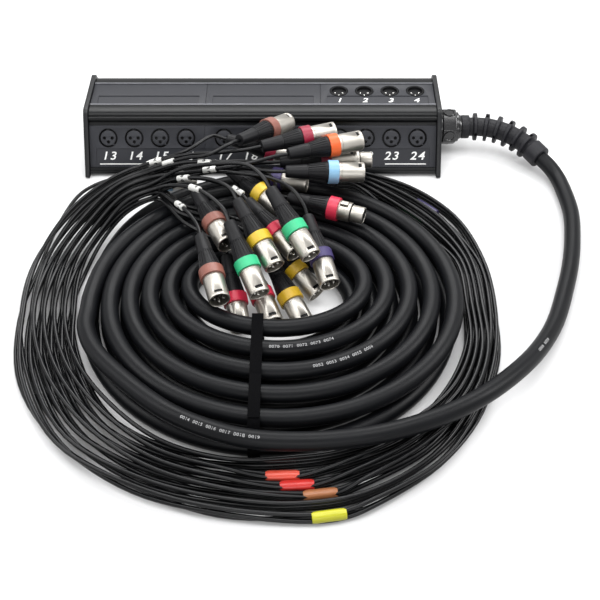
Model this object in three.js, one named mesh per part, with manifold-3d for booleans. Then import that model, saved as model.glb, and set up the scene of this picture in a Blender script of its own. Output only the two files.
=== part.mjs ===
// Stage box with a multicore snake: a black extruded box of panel sockets, a coiled
// multicore cable, and a fan-out of thin tails that end in cable plugs.
// Millimetres. +X to the right along the box, +Y away from the viewer, +Z up.
// The origin is the centre of the box's footprint, on the floor.
import * as THREE from 'three'
import { mergeVertices } from 'three/addons/utils/BufferGeometryUtils.js'
import Module from 'manifold-3d'

const wasm = await Module()
wasm.setup()

// Box
const boxLength = 374.5
const endThick = 5
const endBaseDepth = 148.6
const endTopDepth = 68.4
const endHeight = 60
const endCorner = 5
const endProud = 3
const shellWall = 4
const topCorner = 7
const footCorner = 2
const panelThick = 2
const topPanelWidth = 37
const sidePanelDrop = 14.4
const footLip = 7.35
const panelLip = 1.4
const baseThick = 2
const seat = 0.3
const cutOverrun = 6
const metre = 1000

// Panel sockets
const socketPitch = 27.2
const socketHole = 10
const insertRadius = 8
const flangeWidth = 22.4
const socketSides = 10
const sideSocketMargin = 13
const topSocketRise = 5.5
const socketDepth = 16
const holeSides = 12
const returnPanel = 2
const cupWall = 1.6
const cupFloor = 2
const pinRadius = 1.2
const pinCircle = 4.05
const pinSink = 2
const pinTurns = [0, -Math.PI / 2, Math.PI]

// Cable entry
const entryY = -16
const entryZ = 26
const entryRadius = 11
const flangeRadius = 18
const flangeThick = 4
const glandRadius = 19
const glandLength = 20
const lockNutRadius = 15
const lockNutThick = 6
const ribCount = 7
const ribRadius = 14.5
const ribWidth = 3.4
const ribRamp = 0.9
const coreRadius = 10
const collarRadius = 12

// Multicore cable
const cableRadius = 8
const cableSides = 8
const leadSteps = 38
const loopSteps = 24
const loopSides = 6
const layerPitch = 16.7
const topTurns = 5.25
const bottomTurns = 5.75
const climbTurns = 0.5

// Strap round the coil
const strapWidth = 10
const strapThick = 1.2
const strapX = 2
const strapSlack = 2.2
const strapCorner = 5

// Fan-out and tails
const bootRadius = 13.4
const bootNeck = 9.6
const bootLength = 64
const tailRadius = 1.9
const tailSides = 4
const rowPitch = 4.35
const swayTurns = 0.23
const sleeveRadius = 4.7
const sleeveLength = 27
const sleeveClearance = 0.5
const fanSteps = 2
const neckShare = 0.3
const shoulderShare = 0.62

// Cable plugs
const plugLength = 76
const plugBoot = 40
const plugBootTip = 3.7
const plugBootRadius = 9.4
const ringStart = 41
const ringWidth = 10
const ringRadius = 11.4
const shellRadius = 9.5
const barrelRadius = 8.1
const barrelStart = 63.5
const plugSides = 8
const latchTravel = 1.2
const latchLength = 7
const latchWidth = 5
const latchHeight = 3
const latchCentre = 56.5
const latchClear = 0.4

// Colours and finishes
const finish = (color, roughness, metalness) => new THREE.MeshStandardMaterial({ color, roughness, metalness })
const finishes = {
  profile: () => finish(0x2c2d31, 0.45, 0.3),
  plate: () => finish(0x3b3c40, 0.5, 0.3),
  endPlate: () => finish(0x1c1c1f, 0.6, 0),
  socket: () => finish(0x101012, 0.5, 0),
  rubber: () => finish(0x131316, 0.55, 0),
  strap: () => finish(0x0c0c0e, 0.95, 0),
  metal: () => finish(0xc9c6c0, 0.3, 1),
}

// Solids: closed meshes that are joined and cut
function cleaned(geometry) {
  geometry.deleteAttribute('normal')
  geometry.deleteAttribute('uv')
  const merged = mergeVertices(geometry, 1e-4)
  const index = merged.index.array
  const kept = []
  for (let i = 0; i < index.length; i += 3) {
    const [a, b, c] = [index[i], index[i + 1], index[i + 2]]
    if (a !== b && b !== c && c !== a) kept.push(a, b, c)
  }
  merged.setIndex(kept)
  return merged
}

function solid(geometry) {
  const merged = cleaned(geometry)
  return new wasm.Manifold(new wasm.Mesh({
    numProp: 3,
    vertProperties: new Float32Array(merged.attributes.position.array),
    triVerts: new Uint32Array(merged.index.array),
  }))
}

function shape(body) {
  const mesh = body.getMesh()
  const geometry = new THREE.BufferGeometry()
  geometry.setAttribute('position', new THREE.BufferAttribute(mesh.vertProperties, 3))
  geometry.setIndex(new THREE.BufferAttribute(mesh.triVerts, 1))
  geometry.computeVertexNormals()
  return geometry
}

const joined = (bodies) => bodies.reduce((whole, body) => whole.add(body))

function block(sizeX, sizeY, sizeZ, x, y, z) {
  return solid(new THREE.BoxGeometry(sizeX, sizeY, sizeZ).translate(x, y, z))
}

// A round bar along +Z, from z to z + length
function bar(radius, length, sides, x, y, z) {
  const geometry = new THREE.CylinderGeometry(radius, radius, length, sides)
  geometry.rotateX(Math.PI / 2).translate(x, y, z + length / 2)
  return solid(geometry)
}

// A turned body about +X, from a profile of [place along X, radius] pairs
function turned(profile, sides) {
  const points = profile.map(([along, radius]) => new THREE.Vector2(radius, along))
  const geometry = new THREE.LatheGeometry(points, sides)
  geometry.rotateZ(-Math.PI / 2)
  return geometry
}

// A tube whose rings are carried level along a list of points. Radii may change from ring to ring.
function sweep(points, radii, sides) {
  const up = new THREE.Vector3(0, 0, 1)
  const positions = []
  const index = []
  const last = points.length - 1
  points.forEach((point, i) => {
    const ahead = points[Math.min(i + 1, last)].clone().sub(points[Math.max(i - 1, 0)]).normalize()
    const side = ahead.clone().cross(up).normalize()
    const rise = side.clone().cross(ahead)
    for (let k = 0; k < sides; k++) {
      const angle = (k + 0.5) / sides * 2 * Math.PI - Math.PI / 2
      const offset = side.clone().multiplyScalar(Math.cos(angle) * radii[i])
      offset.addScaledVector(rise, Math.sin(angle) * radii[i])
      positions.push(point.x + offset.x, point.y + offset.y, point.z + offset.z)
    }
  })
  for (let i = 0; i < last; i++) {
    for (let k = 0; k < sides; k++) {
      const a = i * sides + k
      const b = i * sides + (k + 1) % sides
      index.push(a, b + sides, b, a, a + sides, b + sides)
    }
  }
  for (let k = 1; k < sides - 1; k++) {
    index.push(0, k, k + 1)
    index.push(last * sides, last * sides + k + 1, last * sides + k)
  }
  const geometry = new THREE.BufferGeometry()
  geometry.setAttribute('position', new THREE.Float32BufferAttribute(positions, 3))
  geometry.setIndex(index)
  geometry.computeVertexNormals()
  return geometry
}

const tube = (points, radius, sides) => sweep(points, points.map(() => radius), sides)
const vector = ([x, y, z]) => new THREE.Vector3(x, y, z)
const curveThrough = (points) => new THREE.CatmullRomCurve3(points.map(vector), false, 'centripetal')

function spaced(points, steps) {
  const curve = curveThrough(points)
  curve.arcLengthDivisions = steps * points.length
  return curve.getSpacedPoints(steps)
}

function runLength(points) {
  let total = 0
  for (let i = 1; i < points.length; i++) total += points[i].distanceTo(points[i - 1])
  return total
}

// Box section, worked out from the end plate's trapezoid
const slopeRun = (endBaseDepth - endTopDepth) / 2
const slopeLength = Math.hypot(slopeRun, endHeight)
const slopeAngle = Math.atan2(endHeight, slopeRun)
const inset = (depth) => depth / Math.sin(slopeAngle)
const endHalf = (z) => endBaseDepth / 2 - slopeRun * z / endHeight
const shellTop = endHeight - endProud
const shellFoot = endProud
const shellHalf = (z, depth) => endHalf(z) - inset(endProud + depth)
const shellLength = boxLength - 2 * (endThick + seat)
const panelLength = shellLength / 3 - seat
const recessDepth = panelThick + seat
const sidePanelWidth = (shellTop - shellFoot) / Math.sin(slopeAngle) - sidePanelDrop - footLip
const sideSocketRise = sidePanelWidth / 2 - sideSocketMargin
const socketsPerPanel = Math.floor((panelLength - 2 * panelLip - flangeWidth) / socketPitch) + 1

// A closed outline through corners, each rounded by its own radius
function outline(corners) {
  const path = new THREE.Shape()
  const count = corners.length
  corners.forEach(([x, y, radius], i) => {
    const here = new THREE.Vector2(x, y)
    const before = new THREE.Vector2(...corners[(i + count - 1) % count]).sub(here).normalize()
    const after = new THREE.Vector2(...corners[(i + 1) % count]).sub(here).normalize()
    const enter = here.clone().addScaledVector(before, radius)
    const leave = here.clone().addScaledVector(after, radius)
    if (i === 0) path.moveTo(enter.x, enter.y)
    else path.lineTo(enter.x, enter.y)
    if (radius > 0) path.quadraticCurveTo(x, y, leave.x, leave.y)
  })
  path.closePath()
  return path
}

// An outline in the Y-Z plane, extruded along +X from x
function extrudedAlongX(path, length, x, curveSegments) {
  const geometry = new THREE.ExtrudeGeometry(path, { depth: length, bevelEnabled: false, curveSegments })
  geometry.rotateX(Math.PI / 2).rotateZ(Math.PI / 2).translate(x, 0, 0)
  return solid(geometry)
}

// Corners of the shell on one side, from the foot up, where side is -1 at the front and 1 at the rear
function sideCorners(side) {
  const along = (drop, depth) => {
    const z = shellTop - drop * Math.sin(slopeAngle)
    return [side * (shellHalf(z, 0) - depth * Math.sin(slopeAngle)), z - depth * Math.cos(slopeAngle), 0]
  }
  return [
    [side * shellHalf(shellFoot, 0), shellFoot, footCorner],
    along(sidePanelDrop + sidePanelWidth + seat, 0),
    along(sidePanelDrop + sidePanelWidth + seat, recessDepth),
    along(sidePanelDrop - seat, recessDepth),
    along(sidePanelDrop - seat, 0),
    [side * shellHalf(shellTop, 0), shellTop, topCorner],
  ]
}

function profileShell() {
  const trough = topPanelWidth / 2 + seat
  const top = [
    [-trough, shellTop, 0], [-trough, shellTop - recessDepth, 0],
    [trough, shellTop - recessDepth, 0], [trough, shellTop, 0],
  ]
  const outer = outline([...sideCorners(-1), ...top, ...sideCorners(1).reverse()])
  const cavityTop = shellTop - shellWall
  const cavityFoot = shellFoot - cutOverrun
  const cavity = outline([
    [-shellHalf(cavityFoot, shellWall), cavityFoot, 0], [shellHalf(cavityFoot, shellWall), cavityFoot, 0],
    [shellHalf(cavityTop, shellWall), cavityTop, 0], [-shellHalf(cavityTop, shellWall), cavityTop, 0],
  ])
  const hollow = extrudedAlongX(cavity, shellLength + 2 * cutOverrun, -shellLength / 2 - cutOverrun, 1)
  let body = extrudedAlongX(outer, shellLength, -shellLength / 2, 4).subtract(hollow)
  const windowLength = panelLength - 2 * panelLip
  for (const face of [frontFace, rearFace]) {
    for (const x of panelCentres) {
      const opening = block(windowLength, sidePanelWidth - 2 * panelLip, 2 * cutOverrun + shellWall, x, 0, -cutOverrun)
      body = body.subtract(inFace(opening, face))
    }
  }
  const topOpening = block(windowLength, topPanelWidth - 2 * panelLip, 2 * cutOverrun + shellWall,
    panelCentres[2], 0, -cutOverrun)
  return shape(body.subtract(inFace(topOpening, topFace)))
}

function basePlate() {
  const width = 2 * (shellHalf(shellFoot + baseThick, shellWall) - seat)
  return shape(block(shellLength, width, baseThick, 0, 0, shellFoot + baseThick / 2))
}

// Faces of the box. In a face's own axes x runs along the box, y up the face and z out of it.
const faceDrop = sidePanelDrop + sidePanelWidth / 2
const faceZ = shellTop - faceDrop * Math.sin(slopeAngle)
function faceMatrix(turn) {
  const tilt = new THREE.Matrix4().makeRotationX(slopeAngle)
  const place = new THREE.Matrix4().makeTranslation(0, -shellHalf(faceZ, 0), faceZ)
  return new THREE.Matrix4().makeRotationZ(turn).multiply(place).multiply(tilt)
}
const frontFace = faceMatrix(0)
const rearFace = faceMatrix(Math.PI)
const topFace = new THREE.Matrix4().makeTranslation(0, 0, shellTop)
const panelCentres = [-1, 0, 1].map((place) => place * (panelLength + seat))
const inFace = (body, matrix) => body.transform(matrix.elements)

function socketPlaces(rise) {
  return Array.from({ length: socketsPerPanel }, (_, i) => [(i - (socketsPerPanel - 1) / 2) * socketPitch, rise])
}

function panel(width, places) {
  let body = block(panelLength, width, panelThick, 0, 0, -panelThick / 2)
  for (const [x, y] of places) {
    body = body.subtract(bar(socketHole, panelThick + 2 * cutOverrun, holeSides, x, y, -panelThick - cutOverrun))
  }
  return shape(body)
}

// The strip that carries a panel's sockets, which lies against the panel from behind
function carrier(rise) {
  const length = (socketsPerPanel - 1) * socketPitch + flangeWidth
  return block(length, flangeWidth, panelThick, 0, rise, -panelThick * 1.5 - seat)
}

// Four female inserts, which stand in the panel's holes with a groove round them
function femaleSockets() {
  const inserts = socketPlaces(sideSocketRise).map(([x, y]) => {
    return bar(insertRadius, socketDepth, socketSides, x, y, -socketDepth)
  })
  return shape(joined([carrier(sideSocketRise), ...inserts]))
}

// Four male sockets: open cups with three pins each
function maleSockets() {
  const cupRadius = socketHole * Math.cos(Math.PI / holeSides) - seat
  const floor = cupFloor - socketDepth
  const places = socketPlaces(topSocketRise)
  const outsides = places.map(([x, y]) => bar(cupRadius, socketDepth, socketSides, x, y, -socketDepth))
  const cavities = places.map(([x, y]) => {
    return bar(cupRadius - cupWall, socketDepth + cutOverrun, socketSides, x, y, floor)
  })
  const pins = places.flatMap(([x, y]) => pinTurns.map((turn) => {
    const pinX = x + pinCircle * Math.cos(turn)
    const pinY = y + pinCircle * Math.sin(turn)
    return bar(pinRadius, -floor - pinSink + seat, 4, pinX, pinY, floor - seat)
  }))
  const cups = joined([carrier(topSocketRise), ...outsides]).subtract(joined(cavities))
  return shape(joined([cups, ...pins]))
}

function endPlate(side) {
  const plate = outline([
    [-endBaseDepth / 2, 0, endCorner], [endBaseDepth / 2, 0, endCorner],
    [endTopDepth / 2, endHeight, endCorner], [-endTopDepth / 2, endHeight, endCorner],
  ])
  const x = side < 0 ? -boxLength / 2 : boxLength / 2 - endThick
  const body = extrudedAlongX(plate, endThick, x, 3)
  if (side < 0) return shape(body)
  const hole = bar(entryRadius + seat, endThick + 2 * cutOverrun, 16, 0, 0, -cutOverrun)
  const turnedHole = hole.rotate([0, 90, 0]).translate([boxLength / 2 - endThick, entryY, entryZ])
  return shape(body.subtract(turnedHole))
}

// Cable entry: a flanged gland through the right end plate, with a lock nut inside
const glandFace = boxLength / 2 + seat
const glandEnd = glandFace + flangeThick + glandLength
function cableGland() {
  const inner = boxLength / 2 - endThick - seat
  const profile = [
    [inner - lockNutThick, 0], [inner - lockNutThick, lockNutRadius], [inner, lockNutRadius],
    [inner, entryRadius], [glandFace, entryRadius], [glandFace, flangeRadius],
    [glandFace + flangeThick, flangeRadius], [glandFace + flangeThick, glandRadius],
    [glandEnd - flangeThick, glandRadius], [glandEnd, glandRadius - flangeThick], [glandEnd, 0],
  ]
  return cleaned(turned(profile, 10)).translate(0, entryY, entryZ)
}

// The ribbed bend relief follows this route down towards the floor
const reliefRoute = [
  [glandEnd + seat, entryY, entryZ], [222, entryY, entryZ], [234, -17, 26.4], [248, -21, 26.4], [264, -29, 24.6],
  [280, -42, 20.6], [292.5, -58, 16],
]
function bendRelief() {
  const curve = curveThrough(reliefRoute)
  const length = curve.getLength()
  const ribZone = length - 2 * collarRadius
  const stations = [[0, coreRadius]]
  for (let i = 0; i < ribCount; i++) {
    const start = (i + 0.5) / ribCount * ribZone - ribWidth / 2
    stations.push([start - ribRamp, coreRadius], [start, ribRadius])
    stations.push([start + ribWidth, ribRadius], [start + ribWidth + ribRamp, coreRadius])
  }
  stations.push([ribZone + ribRamp, coreRadius], [ribZone + 2 * ribRamp, collarRadius], [length, collarRadius])
  const points = stations.map(([along]) => curve.getPointAt(Math.min(along / length, 1)))
  return sweep(points, stations.map(([, radius]) => radius), 8)
}

// Multicore: it leaves the relief, lies on the floor in a wide loop, climbs over the tails at the
// front and joins the top layer of the coil at the left
const coilBase = strapThick + seat + cableRadius * Math.cos(Math.PI / loopSides)
const coilTop = coilBase + layerPitch
const leadRoute = [
  [292.8, -58.4, 15.9], [299.9, -67.5, 13.3], [306.5, -77, 10.8], [311, -102, 8.8], [311, -140, 8.4], [304.5, -182, 8.4],
  [296.5, -215, 8.4], [285.7, -248, 8.4], [268.5, -292, 9.6], [247, -329, 14.5], [221, -362, 22],
  [190, -392, 28.4], [161, -411, 30], [131, -424.5, 30.4], [102, -434, 31], [66, -440.5, 31.6],
  [30, -442.5, 32.4], [2, -440.5, 32.8], [-24, -433.5, 32.2], [-66, -412, 30.4], [-107, -376, 28.4],
  [-136, -342, 26.9], [-148.4, -312, 25.3], [-149, -291.4, 25.1],
]

// Extents of the coil's middle line, at the outside and the inside of each layer:
// left, right, front and back
const topOuter = [-149, 188.5, -433, -116]
const topInner = [-57, 82, -301, -211.8]
const bottomOuter = [-143.5, 174, -424.7, -111]
const bottomInner = [-52.5, 82, -315.6, -211.8]

const mixed = (a, b, share) => a.map((value, i) => value + (b[i] - value) * share)
const smooth = (share) => share * share * (3 - 2 * share)
const limited = (share) => Math.min(Math.max(share, 0), 1)

// A point of the coil after a number of turns, counted clockwise from the left. The turns wind in
// along the top layer, sink in the half turn where the spiral reverses, and wind out below.
function coilPoint(turns) {
  const spread = Math.abs(turns - topTurns) / topTurns
  const sunk = smooth(limited((turns - topTurns) / climbTurns + 0.5))
  const inner = mixed(topInner, bottomInner, sunk)
  const outer = mixed(topOuter, bottomOuter, sunk)
  const [left, right, front, back] = mixed(inner, outer, spread)
  const angle = Math.PI - 2 * Math.PI * turns
  const x = (left + right) / 2 + (right - left) / 2 * Math.cos(angle)
  const y = (front + back) / 2 + (back - front) / 2 * Math.sin(angle)
  return new THREE.Vector3(x, y, coilTop - layerPitch * sunk)
}

// The coil begins straight behind the lead, and its last run meets the fan-out boot at the back
const bootStart = [10, -93.5, 13.9]
const coilHead = [[-149, -291, 25.1]]
const coilTail = [
  [-149.5, -236, 8.5], [-143, -200, 8.5], [-130, -165, 8.5], [-109, -136, 8.8], [-81, -115, 9.8],
  [-50, -101.5, 11.4], [-24, -95, 13], [-6.5, -93.5, 13.9], [9.7, -93.5, 13.9],
]

function coilPoints() {
  const total = topTurns + bottomTurns
  const count = Math.round(total * loopSteps)
  const turns = Array.from({ length: count + 1 }, (_, i) => coilPoint(i / count * total))
  return [...coilHead.map(vector), ...turns, ...coilTail.map(vector)]
}

// Least gap between the runs of a wound tube, measured between points and the stretches that lie
// further along it than half a loop
function leastGap(points, radius) {
  const skip = Math.floor(loopSteps / 2)
  const nearest = new THREE.Vector3()
  let least = Infinity
  for (let i = 0; i < points.length; i++) {
    for (let j = i + skip; j < points.length - 1; j++) {
      new THREE.Line3(points[j], points[j + 1]).closestPointToPoint(points[i], true, nearest)
      least = Math.min(least, points[i].distanceTo(nearest) - 2 * radius)
    }
  }
  return least
}

function multicoreCoil() {
  const points = coilPoints()
  const metres = (runLength(points) / metre).toFixed(2)
  console.log(`coil ${metres} m, least gap to itself ${leastGap(points, cableRadius).toFixed(2)} mm`)
  return tube(points, cableRadius, loopSides)
}

function multicoreLead() {
  const points = spaced(leadRoute, leadSteps)
  console.log(`lead ${(runLength(points) / metre).toFixed(2)} m`)
  return tube(points, cableRadius, cableSides)
}

// Hook-and-loop strap: a flat band round the front of the coil, which slants from the bottom
// layer's outer turn to the top layer's
function coilStrap() {
  const lastFront = topTurns + bottomTurns - 0.25
  const reach = cableRadius + seat
  const inner = coilPoint(topTurns - 0.5).y + reach + strapSlack
  const topFront = coilPoint(0.75).y - reach
  const lowFront = coilPoint(lastFront).y - reach
  const low = strapThick
  const high = coilTop + reach
  const around = (grow) => outline([
    [lowFront - grow, low - grow, strapCorner], [inner + grow, low - grow, strapCorner],
    [inner + grow, high + grow, strapCorner], [topFront - grow, high + grow, strapCorner],
    [lowFront - grow, coilBase + reach + grow, strapCorner],
  ])
  const band = around(strapThick)
  band.holes.push(around(0))
  return shape(extrudedAlongX(band, strapWidth, strapX - strapWidth / 2, 3))
}

// Moulded boot where the multicore divides into the tails
function fanoutBoot() {
  const profile = [
    [0, 0], [0, bootNeck], [bootLength * neckShare, bootNeck],
    [bootLength * shoulderShare, bootRadius], [bootLength, bootRadius], [bootLength, 0],
  ]
  return cleaned(turned(profile, 12)).translate(...bootStart)
}

// The band of tails from the boot round the coil to the gate over its left side:
// x, y, height of the lowest row, width of the band, sideways sway
const bandRoute = [
  [74.5, -93.5, 7.4, 20.6, 0], [97, -93.5, 6.2, 25, 0], [138, -119, 4, 43, 0], [175, -158, 2.4, 43, 0],
  [200, -213, 2.4, 25, 1.5], [203.5, -272, 2.4, 24, 2.5], [198, -330, 2.4, 26, 2.5], [176, -383, 2.4, 31, 3],
  [136, -430, 2.4, 40, 2], [84, -461, 2.4, 50.5, 0], [36, -470, 2.4, 50.5, 0], [-20, -468, 2.4, 46, 1.5],
  [-81, -449, 2.4, 43, 3.5], [-138, -409, 2.4, 46, 4], [-177, -348, 2.4, 46, 4], [-192.5, -281, 2.4, 46, 4],
  [-190, -216, 3, 45, 3], [-168, -168, 16, 44, 2], [-138, -142, 31, 44, 0], [-108, -131, 38, 46, 0],
]
const rowPhases = [0, 0.5, 0.27, 0.76]

// One group of tails to a column of the band, from its inner side outwards, with the colour of
// the group's sleeve and its place along the band
const groups = [
  { name: 'green', colour: 0x2fae62, place: 2.5 },
  { name: 'orange', colour: 0xe4523e, place: 10.19 },
  { name: 'red', colour: 0xd9302a, place: 9.98 },
  { name: 'brown', colour: 0xae6e45, place: 9.63 },
  { name: 'violet', colour: 0x4a4070, place: 2.5 },
  { name: 'yellow', colour: 0xcdcb20, place: 9.56 },
]

const bandCurve = curveThrough(bandRoute)
const stationCount = bandRoute.length - 1

// Middle of the band, its outward direction and its width and sway at a place along it
function bandFrame(place) {
  const ahead = bandCurve.getTangent(place / stationCount).setZ(0).normalize()
  const before = Math.min(Math.floor(place), stationCount - 1)
  const [, , , width, sway] = mixed(bandRoute[before], bandRoute[before + 1], place - before)
  const middle = bandCurve.getPoint(place / stationCount)
  return { middle, ahead, outward: new THREE.Vector3(-ahead.y, ahead.x, 0), width, sway }
}

// Centre of a group's sleeve and the line along it
function sleeveFrame(column) {
  const { middle, ahead, outward, width } = bandFrame(groups[column].place)
  middle.addScaledVector(outward, width * (column / (groups.length - 1) - 0.5))
  middle.z += sleeveRadius - tailRadius
  return { middle, ahead, outward }
}

// In the sleeve the tails lie in pairs, two low and two high
function sleevePoint(column, row, side) {
  const { middle, ahead, outward } = sleeveFrame(column)
  middle.addScaledVector(ahead, side * sleeveLength / 2)
  middle.addScaledVector(outward, row % 2 ? tailRadius : -tailRadius)
  middle.z += row < 2 ? -tailRadius : tailRadius
  return middle
}

// Elsewhere each column of the band holds its tails one above the other, and the rows sway
function lanePoint(column, row, station) {
  const { middle, outward, width, sway } = bandFrame(station)
  const near = smooth(limited(1.3 - Math.abs(station - groups[column].place)))
  const wave = sway * Math.sin(2 * Math.PI * (station * swayTurns + rowPhases[row]))
  const aside = near * (row % 2 ? tailRadius : -tailRadius) + (1 - near) * wave
  middle.addScaledVector(outward, width * (column / (groups.length - 1) - 0.5) + aside)
  middle.z += row * rowPitch
  return middle
}

// Cable plugs: the coloured ring's centre, the way the plug points and how far it dips in
// degrees, its column and row in the band, the station where its tail leaves the band, and the
// tail's route from there to the plug
const plugs = [
  { at: [8.2, -73.2, 64], points: 50, dips: 14, ring: 0xa56b5e, lane: [4, 2], leaves: 19, route: [[-75, -122, 64], [-50, -131, 75]] },
  { at: [44.9, -100.1, 73.4], points: 19, dips: 0, ring: 0xb0203a, lane: [5, 2], leaves: 19, route: [[-70, -110, 60], [-40, -118, 68]] },
  { at: [70.7, -114.4, 74], points: 20, dips: 2, ring: 0xf0662a, lane: [2, 3], leaves: 19, route: [[-60, -145, 66], [-12, -146, 76]] },
  { at: [64.9, -107.4, 51], points: 4, dips: 0, ring: 0xb0203a, lane: [4, 1], leaves: 19, route: [[-60, -109, 47], [-25, -108, 50]] },
  { at: [70.8, -142, 63], points: 4, dips: 4, ring: 0x8cc4ee, lane: [3, 3], leaves: 19, route: [[-70, -128, 64], [-30, -139, 69]] },
  { at: [16.8, -130.1, 45], points: -12, dips: 0, ring: 0x4a4070, lane: [3, 1], leaves: 19, route: [[-75, -119, 44]] },
  { at: [2, -160, 50], points: -45, dips: 6, ring: 0xe8d22a, lane: [3, 2], leaves: 19, route: [[-75, -116, 54]] },
  { at: [2.5, -231.8, 55], points: -60, dips: 20, ring: 0xe8d22a, lane: [1, 2], leaves: 19, route: [[-75, -152, 63], [-45, -166, 73]] },
  { at: [17, -213, 48], points: -53, dips: 9, ring: 0xe5304a, lane: [1, 1], leaves: 19, route: [[-70, -143, 56], [-42, -152, 59]] },
  { at: [34.4, -229.4, 66], points: -58, dips: 22, ring: 0x35c878, lane: [1, 3], leaves: 19, route: [[-75, -146, 70], [-35, -156, 84], [-10, -166, 90]] },
  { at: [58.2, -238.6, 40], points: -74, dips: 16, ring: 0x4a4070, lane: [2, 2], leaves: 19, route: [[-60, -140, 62], [-20, -149, 67], [10, -153, 64.5], [30, -165, 62]] },
  { at: [-39.2, -269.7, 48], points: -74, dips: 8, ring: 0xa56b5e, lane: [0, 2], leaves: 19, route: [[-80, -176, 54], [-66, -195, 58]] },
  { at: [-40.3, -205, 51.8], points: -64, dips: 4, ring: 0xa56b5e, lane: [0, 1], leaves: 19, route: [[-88, -153, 52]] },
  { at: [-7.9, -260.8, 50.5], points: -66, dips: 22, ring: 0x35c878, lane: [0, 3], leaves: 19, route: [[-80, -166, 66], [-52, -186, 75]] },
  { at: [-19.6, -273.2, 19], points: -78, dips: 19, ring: 0xe5304a, lane: [0, 0], leaves: 19, route: [[-72, -186, 37.5], [-48, -205, 37.8]] },
  { at: [4.3, -266.5, 18], points: -68, dips: 14, ring: 0xe5304a, lane: [1, 0], leaves: 19, route: [[-78, -172, 37.5], [-42, -189, 36.5], [-26, -200, 36]] },
  { at: [35.2, -236.4, 20.6], points: -46, dips: 20, ring: 0xc9a21c, lane: [3, 0], leaves: 19, route: [[-75, -160, 37.5], [-40, -175, 38.5]] },
  { at: [30.1, -270.1, 19], points: -62, dips: 16, ring: 0xc9a21c, lane: [2, 0], leaves: 19, route: [[-76, -166, 37.5], [-40, -182, 38], [-16, -197, 38.5]] },
  { at: [71.4, -176.4, 46], points: -20, dips: 1, ring: 0xe5304a, lane: [2, 1], leaves: 19, female: true, route: [[-60, -134, 54], [-20, -136, 62.5], [5, -141, 62], [15, -150, 56]] },
  { at: [8.2, -75.5, 39.3], points: -2, dips: 16, ring: 0xb0203a, lane: [5, 1], leaves: 18, female: true, route: [[-105, -102, 46], [-75, -98, 55]] },
  { at: [82, -89.4, 37], points: 2, dips: 0, ring: 0xe8d22a, lane: [4, 0], leaves: 19, female: true, route: [[-70, -103, 39], [-30, -104, 41], [-6, -100, 41]] },
  { at: [-98, -90, 12], points: 0, dips: 0, ring: 0x8cc4ee, lane: [5, 0], leaves: 15, female: true, route: [[-211, -218, 3], [-201, -150, 5], [-184, -108, 10]] },
]
const plugLead = 14

// The way a plug points, its upward side, and its place: the tip of its boot
function plugFrame({ at, points, dips }) {
  const turn = THREE.MathUtils.degToRad(points)
  const dip = THREE.MathUtils.degToRad(dips)
  const ahead = new THREE.Vector3(Math.cos(dip) * Math.cos(turn), Math.cos(dip) * Math.sin(turn), -Math.sin(dip))
  const side = ahead.clone().cross(new THREE.Vector3(0, 0, 1)).normalize()
  const rise = side.clone().cross(ahead)
  const place = vector(at).addScaledVector(ahead, -(ringStart + ringWidth / 2))
  return { ahead, side, rise, place }
}

// Points of one tail, from the boot's mouth to its plug
function tailRoute(plug) {
  const [column, row] = plug.lane
  const { ahead, place } = plugFrame(plug)
  const sleeve = groups[column].place
  const route = []
  for (let station = 0; station <= plug.leaves; station++) {
    if (Math.abs(station - sleeve) > sleeveClearance) route.push(lanePoint(column, row, station))
    if (station < sleeve && station + 1 >= sleeve) {
      route.push(sleevePoint(column, row, -1), sleevePoint(column, row, 1))
    }
  }
  const approach = place.clone().addScaledVector(ahead, -plugLead)
  const end = place.clone().addScaledVector(ahead, -seat)
  return [...route, ...plug.route.map(vector), approach, end]
}

function tailGroup(column) {
  const { middle, ahead } = sleeveFrame(column)
  const sleeve = turned([[0, 0], [0, sleeveRadius], [sleeveLength, sleeveRadius], [sleeveLength, 0]], 10)
  sleeve.rotateZ(Math.atan2(ahead.y, ahead.x))
  middle.addScaledVector(ahead, -sleeveLength / 2)
  const bodies = [solid(sleeve.translate(middle.x, middle.y, middle.z))]
  for (const plug of plugs.filter(({ lane }) => lane[0] === column)) {
    const route = tailRoute(plug)
    const curve = new THREE.CatmullRomCurve3(route, false, 'centripetal')
    const points = [route[0]]
    for (let i = 1; i < route.length; i++) {
      const pieces = i > plug.leaves ? fanSteps : 1
      for (let k = 1; k <= pieces; k++) points.push(curve.getPoint((i - 1 + k / pieces) / (route.length - 1)))
    }
    const length = (runLength(points) / metre).toFixed(2)
    console.log(`tail ${groups[column].name} ${plug.lane[1] + 1}: ${length} m`)
    bodies.push(solid(tube(points, tailRadius, tailSides)))
  }
  return shape(joined(bodies))
}

// Cable plugs: boot, coloured ring and metal shell, turned about +X from the boot's tip
const flatHeight = shellRadius * Math.cos(Math.PI / plugSides)
const latchTop = flatHeight + latchTravel + latchClear
const turnToFlat = Math.PI / plugSides

function plugBody(female) {
  const front = female
    ? [[barrelStart, shellRadius], [barrelStart, barrelRadius], [plugLength, barrelRadius]]
    : [[plugLength, shellRadius]]
  const profile = [
    [0, 0], [0, plugBootTip], [plugBoot, plugBootRadius], [ringStart, plugBootRadius],
    [ringStart, ringRadius], [ringStart + ringWidth, ringRadius], [ringStart + ringWidth, shellRadius],
    ...front, [plugLength, 0],
  ]
  const geometry = turned(profile, plugSides).rotateX(turnToFlat)
  if (!female) return cleaned(geometry)
  const floor = latchTop - latchHeight - latchTravel - latchClear
  const pocket = block(latchLength + 2 * latchClear, latchWidth + 2 * latchClear, plugLength,
    latchCentre, 0, floor + plugLength / 2)
  return shape(solid(geometry).subtract(pocket))
}

const latchBody = () => new THREE.BoxGeometry(latchLength, latchWidth, latchHeight)
  .translate(latchCentre, 0, latchTop - latchHeight / 2)

// Assembly
const part = new THREE.Group()

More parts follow.
